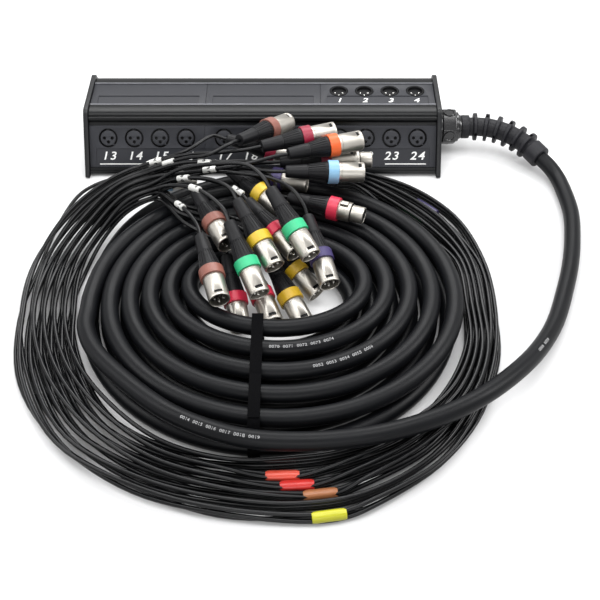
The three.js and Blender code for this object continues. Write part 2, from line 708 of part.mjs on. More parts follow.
function add(parent, name, geometry, material) {
  const mesh = new THREE.Mesh(geometry, material)
  mesh.name = name
  parent.add(mesh)
  return mesh
}

function faceGroup(matrix) {
  const group = new THREE.Group()
  group.applyMatrix4(matrix)
  part.add(group)
  return group
}

add(part, 'profile_shell', profileShell(), finishes.profile())
add(part, 'base_plate', basePlate(), finishes.plate())
add(part, 'end_plate_left', endPlate(-1), finishes.endPlate())
add(part, 'end_plate_right', endPlate(1), finishes.endPlate())

const letters = ['a', 'b', 'c']
for (const [face, matrix, order] of [['front', frontFace, 1], ['rear', rearFace, -1]]) {
  const group = faceGroup(matrix)
  letters.forEach((letter, i) => {
    const x = order * panelCentres[i]
    add(group, `${face}_panel_${letter}`, panel(sidePanelWidth, socketPlaces(sideSocketRise)), finishes.plate()).position.x = x
    add(group, `${face}_sockets_${letter}`, femaleSockets(), finishes.socket()).position.x = x
  })
}
const top = faceGroup(topFace)
letters.forEach((letter, i) => {
  const places = i === returnPanel ? socketPlaces(topSocketRise) : []
  add(top, `top_panel_${letter}`, panel(topPanelWidth, places), finishes.plate()).position.x = panelCentres[i]
})
add(top, 'return_sockets', maleSockets(), finishes.socket()).position.x = panelCentres[returnPanel]

add(part, 'cable_gland', cableGland(), finishes.socket())
add(part, 'bend_relief', bendRelief(), finishes.rubber())
add(part, 'multicore_coil', multicoreCoil(), finishes.rubber())
add(part, 'multicore_lead', multicoreLead(), finishes.rubber())
add(part, 'fanout_boot', fanoutBoot(), finishes.rubber())
add(part, 'coil_strap', coilStrap(), finishes.strap())
groups.forEach(({ name, colour }, column) => {
  add(part, `tails_${name}`, tailGroup(column), finish(colour, 0.5, 0))
})

let inputs = 0
let returns = 0
for (const plug of plugs) {
  const { ahead, side, rise, place } = plugFrame(plug)
  const group = new THREE.Group()
  group.quaternion.setFromRotationMatrix(new THREE.Matrix4().makeBasis(ahead, side.clone().negate(), rise))
  group.position.copy(place)
  part.add(group)
  if (plug.female) {
    returns += 1
    add(group, `return_plug_${returns}`, plugBody(true), finish(plug.ring, 0.4, 0.4))
    add(group, `return_latch_${returns}`, latchBody(), finishes.metal())
  } else {
    inputs += 1
    add(group, `input_plug_${String(inputs).padStart(2, '0')}`, plugBody(false), finish(plug.ring, 0.4, 0.4))
  }
}

export default part
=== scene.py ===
# %% [markdown]
# # A stage box with its multicore snake
# A stage box gathers the microphone lines of a stage. Its sockets are wired to one thick
# multicore cable, which is carried coiled, and at the far end the cable fans out into thin
# tails with plugs. The solid model comes from CAD. This lesson dresses it: each cell makes
# one piece or one finish, and the cell before it says why it is made that way.

# %% Load the CAD model
import math

import bmesh
import bpy
from mathutils import Matrix, Vector


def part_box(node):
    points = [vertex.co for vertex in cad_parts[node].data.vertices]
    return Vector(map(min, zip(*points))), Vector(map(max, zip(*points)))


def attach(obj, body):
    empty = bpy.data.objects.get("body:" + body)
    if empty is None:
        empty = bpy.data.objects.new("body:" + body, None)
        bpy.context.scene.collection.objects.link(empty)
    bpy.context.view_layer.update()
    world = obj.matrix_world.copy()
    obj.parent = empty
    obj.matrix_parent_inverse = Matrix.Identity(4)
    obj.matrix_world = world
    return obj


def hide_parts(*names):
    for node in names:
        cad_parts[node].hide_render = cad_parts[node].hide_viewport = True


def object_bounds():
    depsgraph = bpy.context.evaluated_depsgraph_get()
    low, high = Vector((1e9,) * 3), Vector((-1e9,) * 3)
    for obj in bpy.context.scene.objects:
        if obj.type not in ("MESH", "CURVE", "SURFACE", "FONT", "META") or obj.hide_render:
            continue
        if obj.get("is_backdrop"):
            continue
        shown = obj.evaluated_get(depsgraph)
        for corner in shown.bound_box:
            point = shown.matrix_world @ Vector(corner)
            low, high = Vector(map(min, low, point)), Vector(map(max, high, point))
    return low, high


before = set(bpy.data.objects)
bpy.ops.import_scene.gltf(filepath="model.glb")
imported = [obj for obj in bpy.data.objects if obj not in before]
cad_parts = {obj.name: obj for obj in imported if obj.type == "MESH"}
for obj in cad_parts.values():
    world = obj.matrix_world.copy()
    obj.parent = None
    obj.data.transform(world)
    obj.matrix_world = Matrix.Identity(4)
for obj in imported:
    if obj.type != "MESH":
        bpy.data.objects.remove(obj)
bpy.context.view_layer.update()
MM = 0.001

# %% [markdown]
# ## The camera
# A product photograph is taken from a distance with a longish lens, so that the box doesn't
# taper. The camera looks down at 45 degrees, square to the box, a little to its right.

# %% Camera
bpy.ops.object.camera_add(location=(0.039, -0.939, 0.6853), rotation=(math.radians(45), 0, 0))
camera = bpy.context.object
camera.data.lens = 62.4
camera.data.sensor_width = 36
bpy.context.scene.camera = camera
print("camera", tuple(round(place, 3) for place in camera.location))

# %% [markdown]
# ## Routes of the cables
# A cable is a tube round a centre line, so the centre lines come first. The CAD model runs
# its curves through listed points as centripetal splines, which pass through every point
# without loops. The same spline is written out here, so that each cable lies where its solid
# lies. All places are in millimetres until a curve is made.

# %% The spline
def spline_point(points, place):
    """A point of a centripetal spline; place counts from 0 at the first point."""
    last = len(points) - 1
    step = min(int(place), last - 1)
    share = place - step
    a, b = points[step], points[step + 1]
    before = points[step - 1] if step > 0 else a * 2 - b
    after = points[step + 2] if step + 2 <= last else b * 2 - a
    gap = (b - a).length ** 0.5 or 1
    gap_before = (a - before).length ** 0.5 or gap
    gap_after = (after - b).length ** 0.5 or gap
    leave = (a - before) / gap_before - (b - before) / (gap_before + gap) + (b - a) / gap
    arrive = (b - a) / gap - (after - a) / (gap + gap_after) + (after - b) / gap_after
    leave, arrive = leave * gap, arrive * gap
    square, cube = share ** 2, share ** 3
    return (a + leave * share + (b * 3 - a * 3 - leave * 2 - arrive) * square
            + (a * 2 - b * 2 + leave + arrive) * cube)


def spline(points, steps):
    """The spline through all the points, with a number of steps between each two."""
    count = (len(points) - 1) * steps
    return [spline_point(points, i / steps) for i in range(count + 1)]


def run_length(points):
    return sum((b - a).length for a, b in zip(points, points[1:]))


def vectors(points):
    return [Vector(point) for point in points]


# %% [markdown]
# ## The multicore's route
# The cable leaves the bend relief, lies on the floor in a wide loop, climbs over the tails and
# goes round in a coil: five turns inwards on top, then outwards underneath. The turns come from
# one formula, which blends the extents of the outer turn into those of the inner turn.

# %% Route of the multicore
LEAD_ROUTE = [
    (292.8, -58.4, 15.9), (300.6, -69.5, 12.9), (306.6, -84, 10.2), (310.2, -108, 8.7),
    (311, -140, 8.4), (304.5, -182, 8.4), (296.5, -215, 8.4), (285.7, -248, 8.4),
    (268.5, -292, 9.6), (247, -329, 14.5), (221, -362, 22), (190, -392, 28.4),
    (161, -411, 30), (131, -424.5, 30.4), (102, -434, 31), (66, -440.5, 31.6),
    (30, -442.5, 32.4), (2, -440.5, 32.8), (-24, -433.5, 32.2), (-66, -412, 30.4),
    (-107, -376, 28.4), (-136, -342, 26.9), (-148.4, -312, 25.3), (-149, -291.4, 25.1),
]
COIL_TAIL = [
    (-149.5, -236, 8.5), (-143, -200, 8.5), (-130, -165, 8.5), (-109, -136, 8.8), (-81, -115, 9.8),
    (-50, -101.5, 11.4), (-24, -95, 13), (-6.5, -93.5, 13.9), (9.7, -93.5, 13.9),
]
CABLE_RADIUS = 8
STRAP_THICK = 1.2
SEAT = 0.3
LAYER_PITCH = 16.7
TOP_TURNS, BOTTOM_TURNS, CLIMB_TURNS = 5.25, 5.75, 0.5
# the solid's turns are six-sided tubes, which lie on a flat side
HEXAGON_FLAT = math.cos(math.pi / 6)
COIL_BASE = STRAP_THICK + SEAT + CABLE_RADIUS * HEXAGON_FLAT
COIL_TOP = COIL_BASE + LAYER_PITCH
# left, right, front and back of the middle line
TOP_OUTER, TOP_INNER = (-149, 188.5, -433, -116), (-57, 82, -301, -211.8)
BOTTOM_OUTER, BOTTOM_INNER = (-143.5, 174, -424.7, -111), (-52.5, 82, -315.6, -211.8)


def mixed(a, b, share):
    return [low + (high - low) * share for low, high in zip(a, b)]


def smooth(share):
    share = min(max(share, 0), 1)
    return share * share * (3 - 2 * share)


def coil_point(turns):
    spread = abs(turns - TOP_TURNS) / TOP_TURNS
    sunk = smooth((turns - TOP_TURNS) / CLIMB_TURNS + 0.5)
    left, right, front, back = mixed(mixed(TOP_INNER, BOTTOM_INNER, sunk),
                                     mixed(TOP_OUTER, BOTTOM_OUTER, sunk), spread)
    angle = math.pi - 2 * math.pi * turns
    return Vector(((left + right) / 2 + (right - left) / 2 * math.cos(angle),
                   (front + back) / 2 + (back - front) / 2 * math.sin(angle),
                   COIL_TOP - LAYER_PITCH * sunk))


TURN_POINTS, ROUTE_STEPS = 24, 4
coil_steps = round((TOP_TURNS + BOTTOM_TURNS) * TURN_POINTS)
coil_line = [coil_point(i * (TOP_TURNS + BOTTOM_TURNS) / coil_steps) for i in range(coil_steps + 1)]
multicore_line = spline(vectors(LEAD_ROUTE) + coil_line + vectors(COIL_TAIL), ROUTE_STEPS)
print("multicore", round(run_length(multicore_line) * MM, 2), "m")

# %% [markdown]
# ## The tails' routes
# The tails leave the fan-out's mouth as a band. The band has six columns, one for each group,
# and each column stacks its tails. A group is gathered in its coloured sleeve at the front.
# From the band each tail goes over the coil's left side to its own plug.

# %% The band of tails
# middle x, y, height of the lowest row, width, sideways sway
BAND_ROUTE = [
    (74.5, -93.5, 7.4, 20.6, 0), (97, -93.5, 6.2, 25, 0), (138, -119, 4, 43, 0),
    (175, -158, 2.4, 43, 0), (200, -213, 2.4, 25, 1.5), (203.5, -272, 2.4, 24, 2.5),
    (198, -330, 2.4, 26, 2.5), (176, -383, 2.4, 31, 3), (136, -430, 2.4, 40, 2),
    (84, -461, 2.4, 50.5, 0), (36, -470, 2.4, 50.5, 0), (-20, -468, 2.4, 46, 1.5),
    (-81, -449, 2.4, 43, 3.5), (-138, -409, 2.4, 46, 4), (-177, -348, 2.4, 46, 4),
    (-192.5, -281, 2.4, 46, 4), (-190, -216, 3, 45, 3), (-168, -168, 16, 44, 2),
    (-138, -142, 31, 44, 0), (-108, -131, 38, 46, 0),
]
ROW_PHASES = [0, 0.5, 0.27, 0.76]
TAIL_RADIUS = 1.9
ROW_PITCH = 4.35
SLEEVE_LENGTH = 27
SLEEVE_RADIUS = 4.7
# how near its sleeve, in stations, a tail begins to gather
SLEEVE_REACH = 1.3
SWAY_TURNS = 0.23
NEAR_SHARE = 0.0001
GROUPS = [("green", "#2fae62", 2.5), ("orange", "#e4523e", 10.19), ("red", "#d9302a", 9.98),
          ("brown", "#ae6e45", 9.63), ("violet", "#2e2850", 2.5), ("yellow", "#cdcb20", 9.56)]
band_line = [Vector(station[:3]) for station in BAND_ROUTE]
LAST_COLUMN = len(GROUPS) - 1


def band_frame(place):
    """Middle, forward way, outward way, width and sway of the band at a place along it."""
    last = len(BAND_ROUTE) - 1
    near = NEAR_SHARE * last
    ahead = (spline_point(band_line, min(place + near, last))
             - spline_point(band_line, max(place - near, 0)))
    ahead.z = 0
    ahead.normalize()
    before = min(int(place), last - 1)
    width, sway = mixed(BAND_ROUTE[before], BAND_ROUTE[before + 1], place - before)[3:]
    return spline_point(band_line, place), ahead, Vector((-ahead.y, ahead.x, 0)), width, sway


def sleeve_frame(column):
    middle, ahead, outward, width, _ = band_frame(GROUPS[column][2])
    middle = middle + outward * width * (column / LAST_COLUMN - 0.5)
    middle.z += SLEEVE_RADIUS - TAIL_RADIUS
    return middle, ahead, outward


def sleeve_point(column, row, side):
    middle, ahead, outward = sleeve_frame(column)
    middle = middle + ahead * side * SLEEVE_LENGTH / 2
    middle += outward * (TAIL_RADIUS if row % 2 else -TAIL_RADIUS)
    middle.z += -TAIL_RADIUS if row < 2 else TAIL_RADIUS
    return middle


def lane_point(column, row, station):
    middle, _, outward, width, sway = band_frame(station)
    near = smooth(SLEEVE_REACH - abs(station - GROUPS[column][2]))
    wave = sway * math.sin(2 * math.pi * (station * SWAY_TURNS + ROW_PHASES[row]))
    aside = near * (TAIL_RADIUS if row % 2 else -TAIL_RADIUS) + (1 - near) * wave
    middle = middle + outward * (width * (column / LAST_COLUMN - 0.5) + aside)
    middle.z += row * ROW_PITCH
    return middle

print("band of", len(GROUPS), "columns and", len(ROW_PHASES), "rows")

# %% [markdown]
# ## The plugs' places
# Each plug is placed by the centre of its coding ring, the way it points and how far it dips, in
# degrees. A plug that points away from the box shows its open end; one that points up the slope
# leans on its neighbours. Its lane is the column and row of the band that its tail runs in. The
# points after that bend the tail from the band into the plug's own direction.

# %% Plug table
PLUG_LENGTH = 76
BOOT_LENGTH = 41
RING_WIDTH = 10
RING_TONES = {"brown": "#8e594d", "wine": "#961a36", "orange": "#f0662a", "sky": "#8dbfe2",
              "violet": "#392e62", "yellow": "#dcb92a", "red": "#d42a48", "green": "#2cc084",
              "amber": "#c9a21c"}


def plug_at(at, points, dips, ring, lane, *route, leaves=19, female=False):
    """One plug. Its tail leaves the band at the station given by leaves."""
    return dict(at=at, points=points, dips=dips, ring=RING_TONES[ring], lane=lane, route=route,
                leaves=leaves, female=female)


PLUGS = [
    plug_at((8.2, -73.2, 64), 50, 14, "brown", (4, 2), (-75, -122, 64), (-50, -131, 75)),
    plug_at((44.9, -100.1, 73.4), 19, 0, "wine", (5, 2), (-70, -110, 60), (-40, -118, 68)),
    plug_at((70.7, -114.4, 74), 20, 2, "orange", (2, 3), (-60, -145, 66), (-12, -146, 76)),
    plug_at((64.9, -107.4, 51), 4, 0, "wine", (4, 1), (-60, -109, 47), (-25, -108, 50)),
    plug_at((70.8, -142, 63), 4, 4, "sky", (3, 3), (-70, -128, 64), (-30, -139, 69)),
    plug_at((16.8, -130.1, 45), -12, 0, "violet", (3, 1), (-75, -119, 44)),
    plug_at((2, -160, 50), -45, 6, "yellow", (3, 2), (-75, -116, 54)),
    plug_at((2.5, -231.8, 55), -60, 20, "yellow", (1, 2), (-75, -152, 63), (-45, -166, 73)),
    plug_at((17, -213, 48), -53, 9, "red", (1, 1), (-70, -143, 56), (-42, -152, 59)),
    plug_at((34.4, -229.4, 66), -58, 22, "green", (1, 3),
            (-75, -146, 70), (-35, -156, 84), (-10, -166, 90)),
    plug_at((58.2, -238.6, 40), -74, 16, "violet", (2, 2),
            (-60, -140, 62), (-20, -149, 67), (10, -153, 64.5), (30, -165, 62)),
    plug_at((-39.2, -269.7, 48), -74, 8, "brown", (0, 2), (-80, -176, 54), (-66, -195, 58)),
    plug_at((-40.3, -205, 51.8), -64, 4, "brown", (0, 1), (-88, -153, 52)),
    plug_at((-7.9, -260.8, 50.5), -66, 22, "green", (0, 3), (-80, -166, 66), (-52, -186, 75)),
    plug_at((-19.6, -273.2, 19), -78, 19, "red", (0, 0), (-72, -186, 37.5), (-48, -205, 37.8)),
    plug_at((4.3, -266.5, 18), -68, 14, "red", (1, 0),
            (-78, -172, 37.5), (-42, -189, 36.5), (-26, -200, 36)),
    plug_at((35.2, -236.4, 20.6), -46, 20, "amber", (3, 0), (-75, -160, 37.5), (-40, -175, 38.5)),
    plug_at((30.1, -270.1, 19), -62, 16, "amber", (2, 0),
            (-76, -166, 37.5), (-40, -182, 38), (-16, -197, 38.5)),
    plug_at((71.4, -176.4, 46), -20, 1, "red", (2, 1),
            (-60, -134, 54), (-20, -136, 62.5), (5, -141, 62), (15, -150, 56), female=True),
    plug_at((8.2, -75.5, 39.3), -2, 16, "wine", (5, 1),
            (-105, -102, 46), (-75, -98, 55), leaves=18, female=True),
    plug_at((82, -89.4, 37), 2, 0, "yellow", (4, 0),
            (-70, -103, 39), (-30, -104, 41), (-6, -100, 41), female=True),
    plug_at((-98, -90, 12), 0, 0, "sky", (5, 0),
            (-211, -218, 3), (-201, -150, 5), (-184, -108, 10), leaves=15, female=True),
]
print(len(PLUGS), "plugs in", len(RING_TONES), "ring tones")

# %% [markdown]
# A tail follows its lane, passes through its group's sleeve in a tight bundle, and ends at the
# tip of its plug's boot. Where the spline swings below the floor between two points, the tail is
# lifted onto the floor.

# %% Routes of the tails
UP = Vector((0, 0, 1))
PLUG_LEAD = 14
TAIL_STEPS = 6
FLOOR_CLEARANCE = 0.1


def plug_frame(plug):
    """The way a plug points, its upward side, and the tip of its boot."""
    turn, dip = math.radians(plug["points"]), math.radians(plug["dips"])
    ahead = Vector((math.cos(dip) * math.cos(turn), math.cos(dip) * math.sin(turn),
                    -math.sin(dip)))
    side = ahead.cross(UP).normalized()
    tip = Vector(plug["at"]) - ahead * (BOOT_LENGTH + RING_WIDTH / 2)
    return ahead, side.cross(ahead), tip


def tail_route(plug):
    column, row = plug["lane"]
    ahead, _, tip = plug_frame(plug)
    sleeve = GROUPS[column][2]
    route = []
    for station in range(plug["leaves"] + 1):
        if abs(station - sleeve) > 0.5:
            route.append(lane_point(column, row, station))
        if station < sleeve <= station + 1:
            route += [sleeve_point(column, row, -1), sleeve_point(column, row, 1)]
    return route + vectors(plug["route"]) + [tip - ahead * PLUG_LEAD, tip - ahead * SEAT]


inputs = returns = 0
for plug in PLUGS:
    if plug["female"]:
        returns += 1
        plug["node"] = f"return_plug_{returns}"
    else:
        inputs += 1
        plug["node"] = f"input_plug_{inputs:02d}"
    plug["line"] = spline(tail_route(plug), TAIL_STEPS)
    for point in plug["line"]:
        point.z = max(point.z, TAIL_RADIUS + FLOOR_CLEARANCE)
print(inputs, "male plugs and", returns, "female plugs; tails of",
      [round(run_length(plug["line"]) * MM, 2) for plug in PLUGS], "m")

# %% [markdown]
# ## Colours and shared effects
# Colours are written as they look on a screen and turned into light values. An effect that a
# finish needs is a node group, built once: the fine grain of moulded and coated surfaces, soft
# scuffs from handling, and the fine rings that turning leaves on round metal.

# %% Colour and node helpers
def paint(text):
    """A screen colour such as #47484C as light values."""
    values = [int(text[i:i + 2], 16) / 255 for i in (1, 3, 5)]
    return [v / 12.92 if v <= 0.04045 else ((v + 0.055) / 1.055) ** 2.4 for v in values] + [1]


def feed(tree, entry, value):
    """Links a socket to an input, or gives the input a plain value."""
    if isinstance(value, bpy.types.NodeSocket):
        tree.links.new(value, entry)
    else:
        entry.default_value = value


def put(tree, kind, **values):
    """A new node, with its settings, and with values or sockets for its inputs."""
    node = tree.nodes.new("ShaderNode" + kind)
    for name, value in values.items():
        if hasattr(node, name):
            setattr(node, name, value)
        else:
            feed(tree, node.inputs[name.replace("_", " ")], value)
    return node


def math_node(tree, operation, first, second):
    node = put(tree, "Math", operation=operation)
    feed(tree, node.inputs[0], first)
    feed(tree, node.inputs[1], second)
    return node.outputs[0]


def tone_mix(tree, mask, first, second):
    """Two colours mixed by a mask. Inputs 6 and 7 and output 2 are the node's colour ones."""
    node = put(tree, "Mix", data_type="RGBA", Factor=mask)
    feed(tree, node.inputs[6], first)
    feed(tree, node.inputs[7], second)
    return node.outputs[2]


# %% Fine grain
PATCH_SHARE = 0.035


def new_group(name, inputs, outputs):
    group = bpy.data.node_groups.new(name, "ShaderNodeTree")
    for label, value in inputs.items():
        socket = group.interface.new_socket(label, in_out="INPUT", socket_type="NodeSocketFloat")
        socket.default_value = value
    for label in outputs:
        group.interface.new_socket(label, in_out="OUTPUT", socket_type="NodeSocketFloat")
    return group, group.nodes.new("NodeGroupInput"), group.nodes.new("NodeGroupOutput")


grain_group, enter, leave = new_group("fine grain", {"Scale": 900.0}, ["Grain", "Patches"])
place = put(grain_group, "TexCoord").outputs["Object"]
fine = put(grain_group, "TexNoise", Vector=place, Scale=enter.outputs["Scale"], Detail=3.0,
           Roughness=0.6)
patch_scale = math_node(grain_group, "MULTIPLY", enter.outputs["Scale"], PATCH_SHARE)
broad = put(grain_group, "TexNoise", Vector=place, Scale=patch_scale, Detail=4.0, Roughness=0.55)
feed(grain_group, leave.inputs["Grain"], fine.outputs["Fac"])
feed(grain_group, leave.inputs["Patches"], broad.outputs["Fac"])
print("grain group", len(grain_group.nodes), "nodes")

# %% Scuffs
scuff_group, enter, leave = new_group("handling scuffs", {"Scale": 60.0, "Amount": 0.5},
                                      ["Scuffs"])
place = put(scuff_group, "TexCoord").outputs["Object"]
marks = put(scuff_group, "TexNoise", Vector=place, Scale=enter.outputs["Scale"], Detail=6.0,
            Roughness=0.72, Distortion=1.4)
edge = put(scuff_group, "MapRange", Value=marks.outputs["Fac"], From_Min=0.6, From_Max=0.72)
feed(scuff_group, leave.inputs["Scuffs"],
     math_node(scuff_group, "MULTIPLY", edge.outputs["Result"], enter.outputs["Amount"]))
print("scuff group", len(scuff_group.nodes), "nodes")

# %% [markdown]
# The plug's own place is stored on its mesh before the plug is laid down, as an attribute
# called local, in millimetres with z along the plug. A pattern that reads it follows the plug
# wherever it points.

# %% Turned rings
turned_group, enter, leave = new_group("turned rings", {"Pitch": 0.25}, ["Height"])
local = put(turned_group, "Attribute", attribute_name="local")
parts = put(turned_group, "SeparateXYZ", Vector=local.outputs["Vector"])
count = math_node(turned_group, "DIVIDE", parts.outputs["Z"], enter.outputs["Pitch"])
ring_noise = put(turned_group, "TexNoise", noise_dimensions="1D", W=count, Scale=1.0, Detail=2.0)
feed(turned_group, leave.inputs["Height"], ring_noise.outputs["Fac"])
print("turned rings", len(turned_group.nodes), "nodes")

# %% [markdown]
# ## Finishes
# Every finish starts the same way: two close tones mixed by broad patches, scuffs on top where
# the piece is handled, a roughness that varies with the patches, and a bump from the grain. What
# makes rubber, coated metal or plastic different is the values. A special pattern is a second
# bump under the grain's.

# %% A surface
SCUFF_ROUGHNESS = 0.25


def surface(name, tone, second, roughness, shine=0.5, grain=900.0, bump=0.15, depth=0.00005,
            scuffs=0.0, scuff_tone="#6a6a6c", metallic=0.0, extra=None, extra_bump=0.0,
            extra_depth=0.0):
    material = bpy.data.materials.new(name)
    material.use_nodes = True
    tree = material.node_tree
    shader = tree.nodes["Principled BSDF"]
    shader.inputs["Metallic"].default_value = metallic
    shader.inputs["Specular IOR Level"].default_value = shine
    grains = put(tree, "Group", node_tree=grain_group, Scale=grain)
    patches = grains.outputs["Patches"]
    colour = tone_mix(tree, patches, paint(tone), paint(second))
    rough = put(tree, "MapRange", Value=patches, From_Min=0.3, From_Max=0.7,
                To_Min=roughness[0], To_Max=roughness[1]).outputs["Result"]
    if scuffs:
        worn = put(tree, "Group", node_tree=scuff_group, Amount=scuffs).outputs["Scuffs"]
        colour = tone_mix(tree, worn, colour, paint(scuff_tone))
        rough = math_node(tree, "ADD", rough, math_node(tree, "MULTIPLY", worn, SCUFF_ROUGHNESS))
    relief = put(tree, "Bump", Strength=bump, Distance=depth, Height=grains.outputs["Grain"])
    if extra is not None:
        pattern = put(tree, "Group", node_tree=extra)
        lower = put(tree, "Bump", Strength=extra_bump, Distance=extra_depth,
                    Height=pattern.outputs["Height"])
        feed(tree, relief.inputs["Normal"], lower.outputs["Normal"])
    feed(tree, shader.inputs["Base Color"], colour)
    feed(tree, shader.inputs["Roughness"], rough)
    feed(tree, shader.inputs["Normal"], relief.outputs["Normal"])
    return material


# %% [markdown]
# The box is an aluminium extrusion, anodised black. The die leaves faint lines along it, so its
# pattern is a noise stretched along X. The plates on it are powder coated, which is greyer and
# has a fine pebbled skin.

# %% Extrusion lines
die_group, enter, leave = new_group("die lines", {"Scale": 260.0}, ["Height"])
place = put(die_group, "TexCoord").outputs["Object"]
stretch = put(die_group, "Mapping", Vector=place, Scale=(0.01, 1, 1))
lines = put(die_group, "TexNoise", Vector=stretch.outputs["Vector"],
            Scale=enter.outputs["Scale"], Detail=3.0)
feed(die_group, leave.inputs["Height"], lines.outputs["Fac"])
print("die lines", len(die_group.nodes), "nodes")

# %% Finishes of the box
ANODISED = surface("black anodised extrusion", "#08090a", "#0d0e10", (0.28, 0.34), shine=0.2,
                   grain=1800.0, bump=0.02, metallic=0.1, extra=die_group, extra_bump=0.04,
                   extra_depth=0.00006)
# a lighter tone for the thin beads at the top panel's edge: a painted highlight
BEAD_HIGHLIGHT = surface("painted highlight on extrusion beads", "#5c5d62", "#7a7b80", (0.3, 0.4), grain=1800.0,
                    bump=0.1, metallic=0.3)
COATED = surface("grey powder coat", "#26272b", "#2e2f34", (0.4, 0.5), shine=0.25, grain=1500.0,
                 bump=0.35, scuffs=0.05)
END_PLASTIC = surface("moulded end plate", "#0d0e10", "#141518", (0.34, 0.44), shine=0.3,
                      grain=1200.0, bump=0.3, scuffs=0.08)
# black socket plastic; on the plugs' shells the same black is painted shade in a window and a
# groove
SOCKET_BLACK_AND_SHADE = surface("socket plastic and painted shade", "#050506", "#09090b", (0.4, 0.52), shine=0.15,
                       grain=1400.0)
INSERT_GREY = surface("socket insert", "#26272b", "#303136", (0.4, 0.5), shine=0.3,
                      grain=1400.0, bump=0.2)
PRINT_WHITE = surface("white print", "#eeeeec", "#f8f8f6", (0.5, 0.6), grain=2200.0, bump=0.2)
CONTACT = surface("silvered contact", "#c9c8c4", "#dad9d5", (0.2, 0.32), grain=1600.0,
                  bump=0.05, metallic=1.0)
SCREW_BLACK = surface("blackened screw", "#1d1d1f", "#2a2a2c", (0.3, 0.42), grain=1600.0,
                      bump=0.1, metallic=0.8, scuffs=0.4)
GLAND_NYLON = surface("gland nylon", "#0c0c0e", "#141417", (0.16, 0.26), shine=0.55,
                      grain=1300.0, bump=0.12, scuffs=0.1)
print(len(bpy.data.materials), "finishes of the box")

# %% [markdown]
# The cable jacket is soft black PVC. It is satin, picks up faint dusty marks where it has lain
# on floors, and its surface is never quite even, so the grain is broad and low. The tails are
# glossier. Group sleeves are heat-shrink tube, uneven where it grips the tails.

# %% Finishes of the cables
JACKET = surface("multicore jacket", "#090a0c", "#0f1013", (0.36, 0.46), shine=0.14, grain=700.0,
                 bump=0.25, depth=0.0001, scuffs=0.15, scuff_tone="#202124")
TAIL_JACKET = surface("tail jacket", "#08080a", "#0e0f11", (0.2, 0.28), shine=0.22,
                      grain=1100.0, scuffs=0.15, scuff_tone="#222326")
RUBBER = surface("moulded rubber", "#1b1b1e", "#242428", (0.42, 0.54), shine=0.2, grain=1000.0,
                 bump=0.4, scuffs=0.2, scuff_tone="#38383c")
BOOT_RUBBER = surface("plug boot", "#0a0a0c", "#131316", (0.4, 0.52), shine=0.2, grain=1300.0,
                      bump=0.3, scuffs=0.2, scuff_tone="#28282c")
NUMBER_WHITE = surface("number sleeve", "#cfcfcb", "#e2e2de", (0.35, 0.5), grain=1200.0)
NUMBER_INK = surface("number ink", "#1c1c1e", "#2a2a2c", (0.5, 0.6), grain=1800.0, bump=0.1)
JACKET_INK = surface("jacket print", "#8f8f90", "#a2a2a3", (0.5, 0.6), grain=1800.0, bump=0.1)


def shade(tone, share):
    """The same screen colour, a little darker."""
    return "#" + "".join(f"{round(int(tone[i:i + 2], 16) * share):02x}" for i in (1, 3, 5))


def shrink_sleeve(name, tone):
    """Heat-shrink tube of a group's colour."""
    return surface(f"{name} shrink sleeve", tone, shade(tone, 0.86), (0.28, 0.42), grain=420.0,
                   bump=0.5, depth=0.0003, scuffs=0.1)


print(len(bpy.data.materials), "finishes so far")

# %% [markdown]
# A plug's shell is die-cast and nickel plated with a satin surface: bright, but with soft
# reflections drawn out round the shell. The coding rings are plain moulded plastic.

# %% Finishes of the plugs
NICKEL = surface("satin nickel", "#a09c95", "#b0aca5", (0.36, 0.46), grain=1500.0, bump=0.1,
                 metallic=1.0, extra=turned_group, extra_bump=0.12, extra_depth=0.0001,
                 scuffs=0.1, scuff_tone="#8d8a84")
ring_plastics = {tone: surface(f"coding ring {tone[1:]}", tone, shade(tone, 0.9), (0.38, 0.5),
                               grain=1100.0, bump=0.2, scuffs=0.08, scuff_tone="#d8d8d8")
                 for tone in RING_TONES.values()}
print(len(ring_plastics), "ring plastics")

# %% [markdown]
# The strap is hook-and-loop band: one face is a dense pile of loops. Voronoi cells give the
# loops, and a little sheen gives the pale bloom of a textile seen at a low angle.

# %% Finish of the strap
loop_group, enter, leave = new_group("pile of loops", {"Scale": 1500.0}, ["Height"])
place = put(loop_group, "TexCoord").outputs["Object"]
loops = put(loop_group, "TexVoronoi", Vector=place, Scale=enter.outputs["Scale"])
feed(loop_group, leave.inputs["Height"], loops.outputs["Distance"])
STRAP_CLOTH = surface("hook-and-loop band", "#040405", "#08080a", (0.8, 0.95), shine=0.04,
                      bump=0.4, extra=loop_group, extra_bump=0.8, extra_depth=0.0004)
strap_shader = STRAP_CLOTH.node_tree.nodes["Principled BSDF"]
strap_shader.inputs["Sheen Weight"].default_value = 0.01
strap_shader.inputs["Sheen Roughness"].default_value = 0.5
print(len(bpy.data.materials), "finishes so far")

# %% [markdown]
# ## Modelling helpers
# Blender's operators act on whatever is selected, so each helper first deselects everything.
# Boots, rings, shells, pins and ribs are round. A round part starts as a filled circle and grows
# by extruding its end face and scaling it, station by station.

# %% Selecting, and turned bodies
def only(*objects):
    """Selects these objects and no others. The first one becomes the active one."""
    bpy.ops.object.select_all(action="DESELECT")
    for obj in objects:
        obj.select_set(True)
    if objects:
        bpy.context.view_layer.objects.active = objects[0]


def mode(name):
    bpy.ops.object.mode_set(mode=name)


def end_edit(merge=0.0):
    """Merges doubles if a distance is given, turns all faces outwards and leaves edit mode."""
    bpy.ops.mesh.select_all(action="SELECT")
    if merge:
        bpy.ops.mesh.remove_doubles(threshold=merge)
    bpy.ops.mesh.normals_make_consistent(inside=False)
    mode("OBJECT")


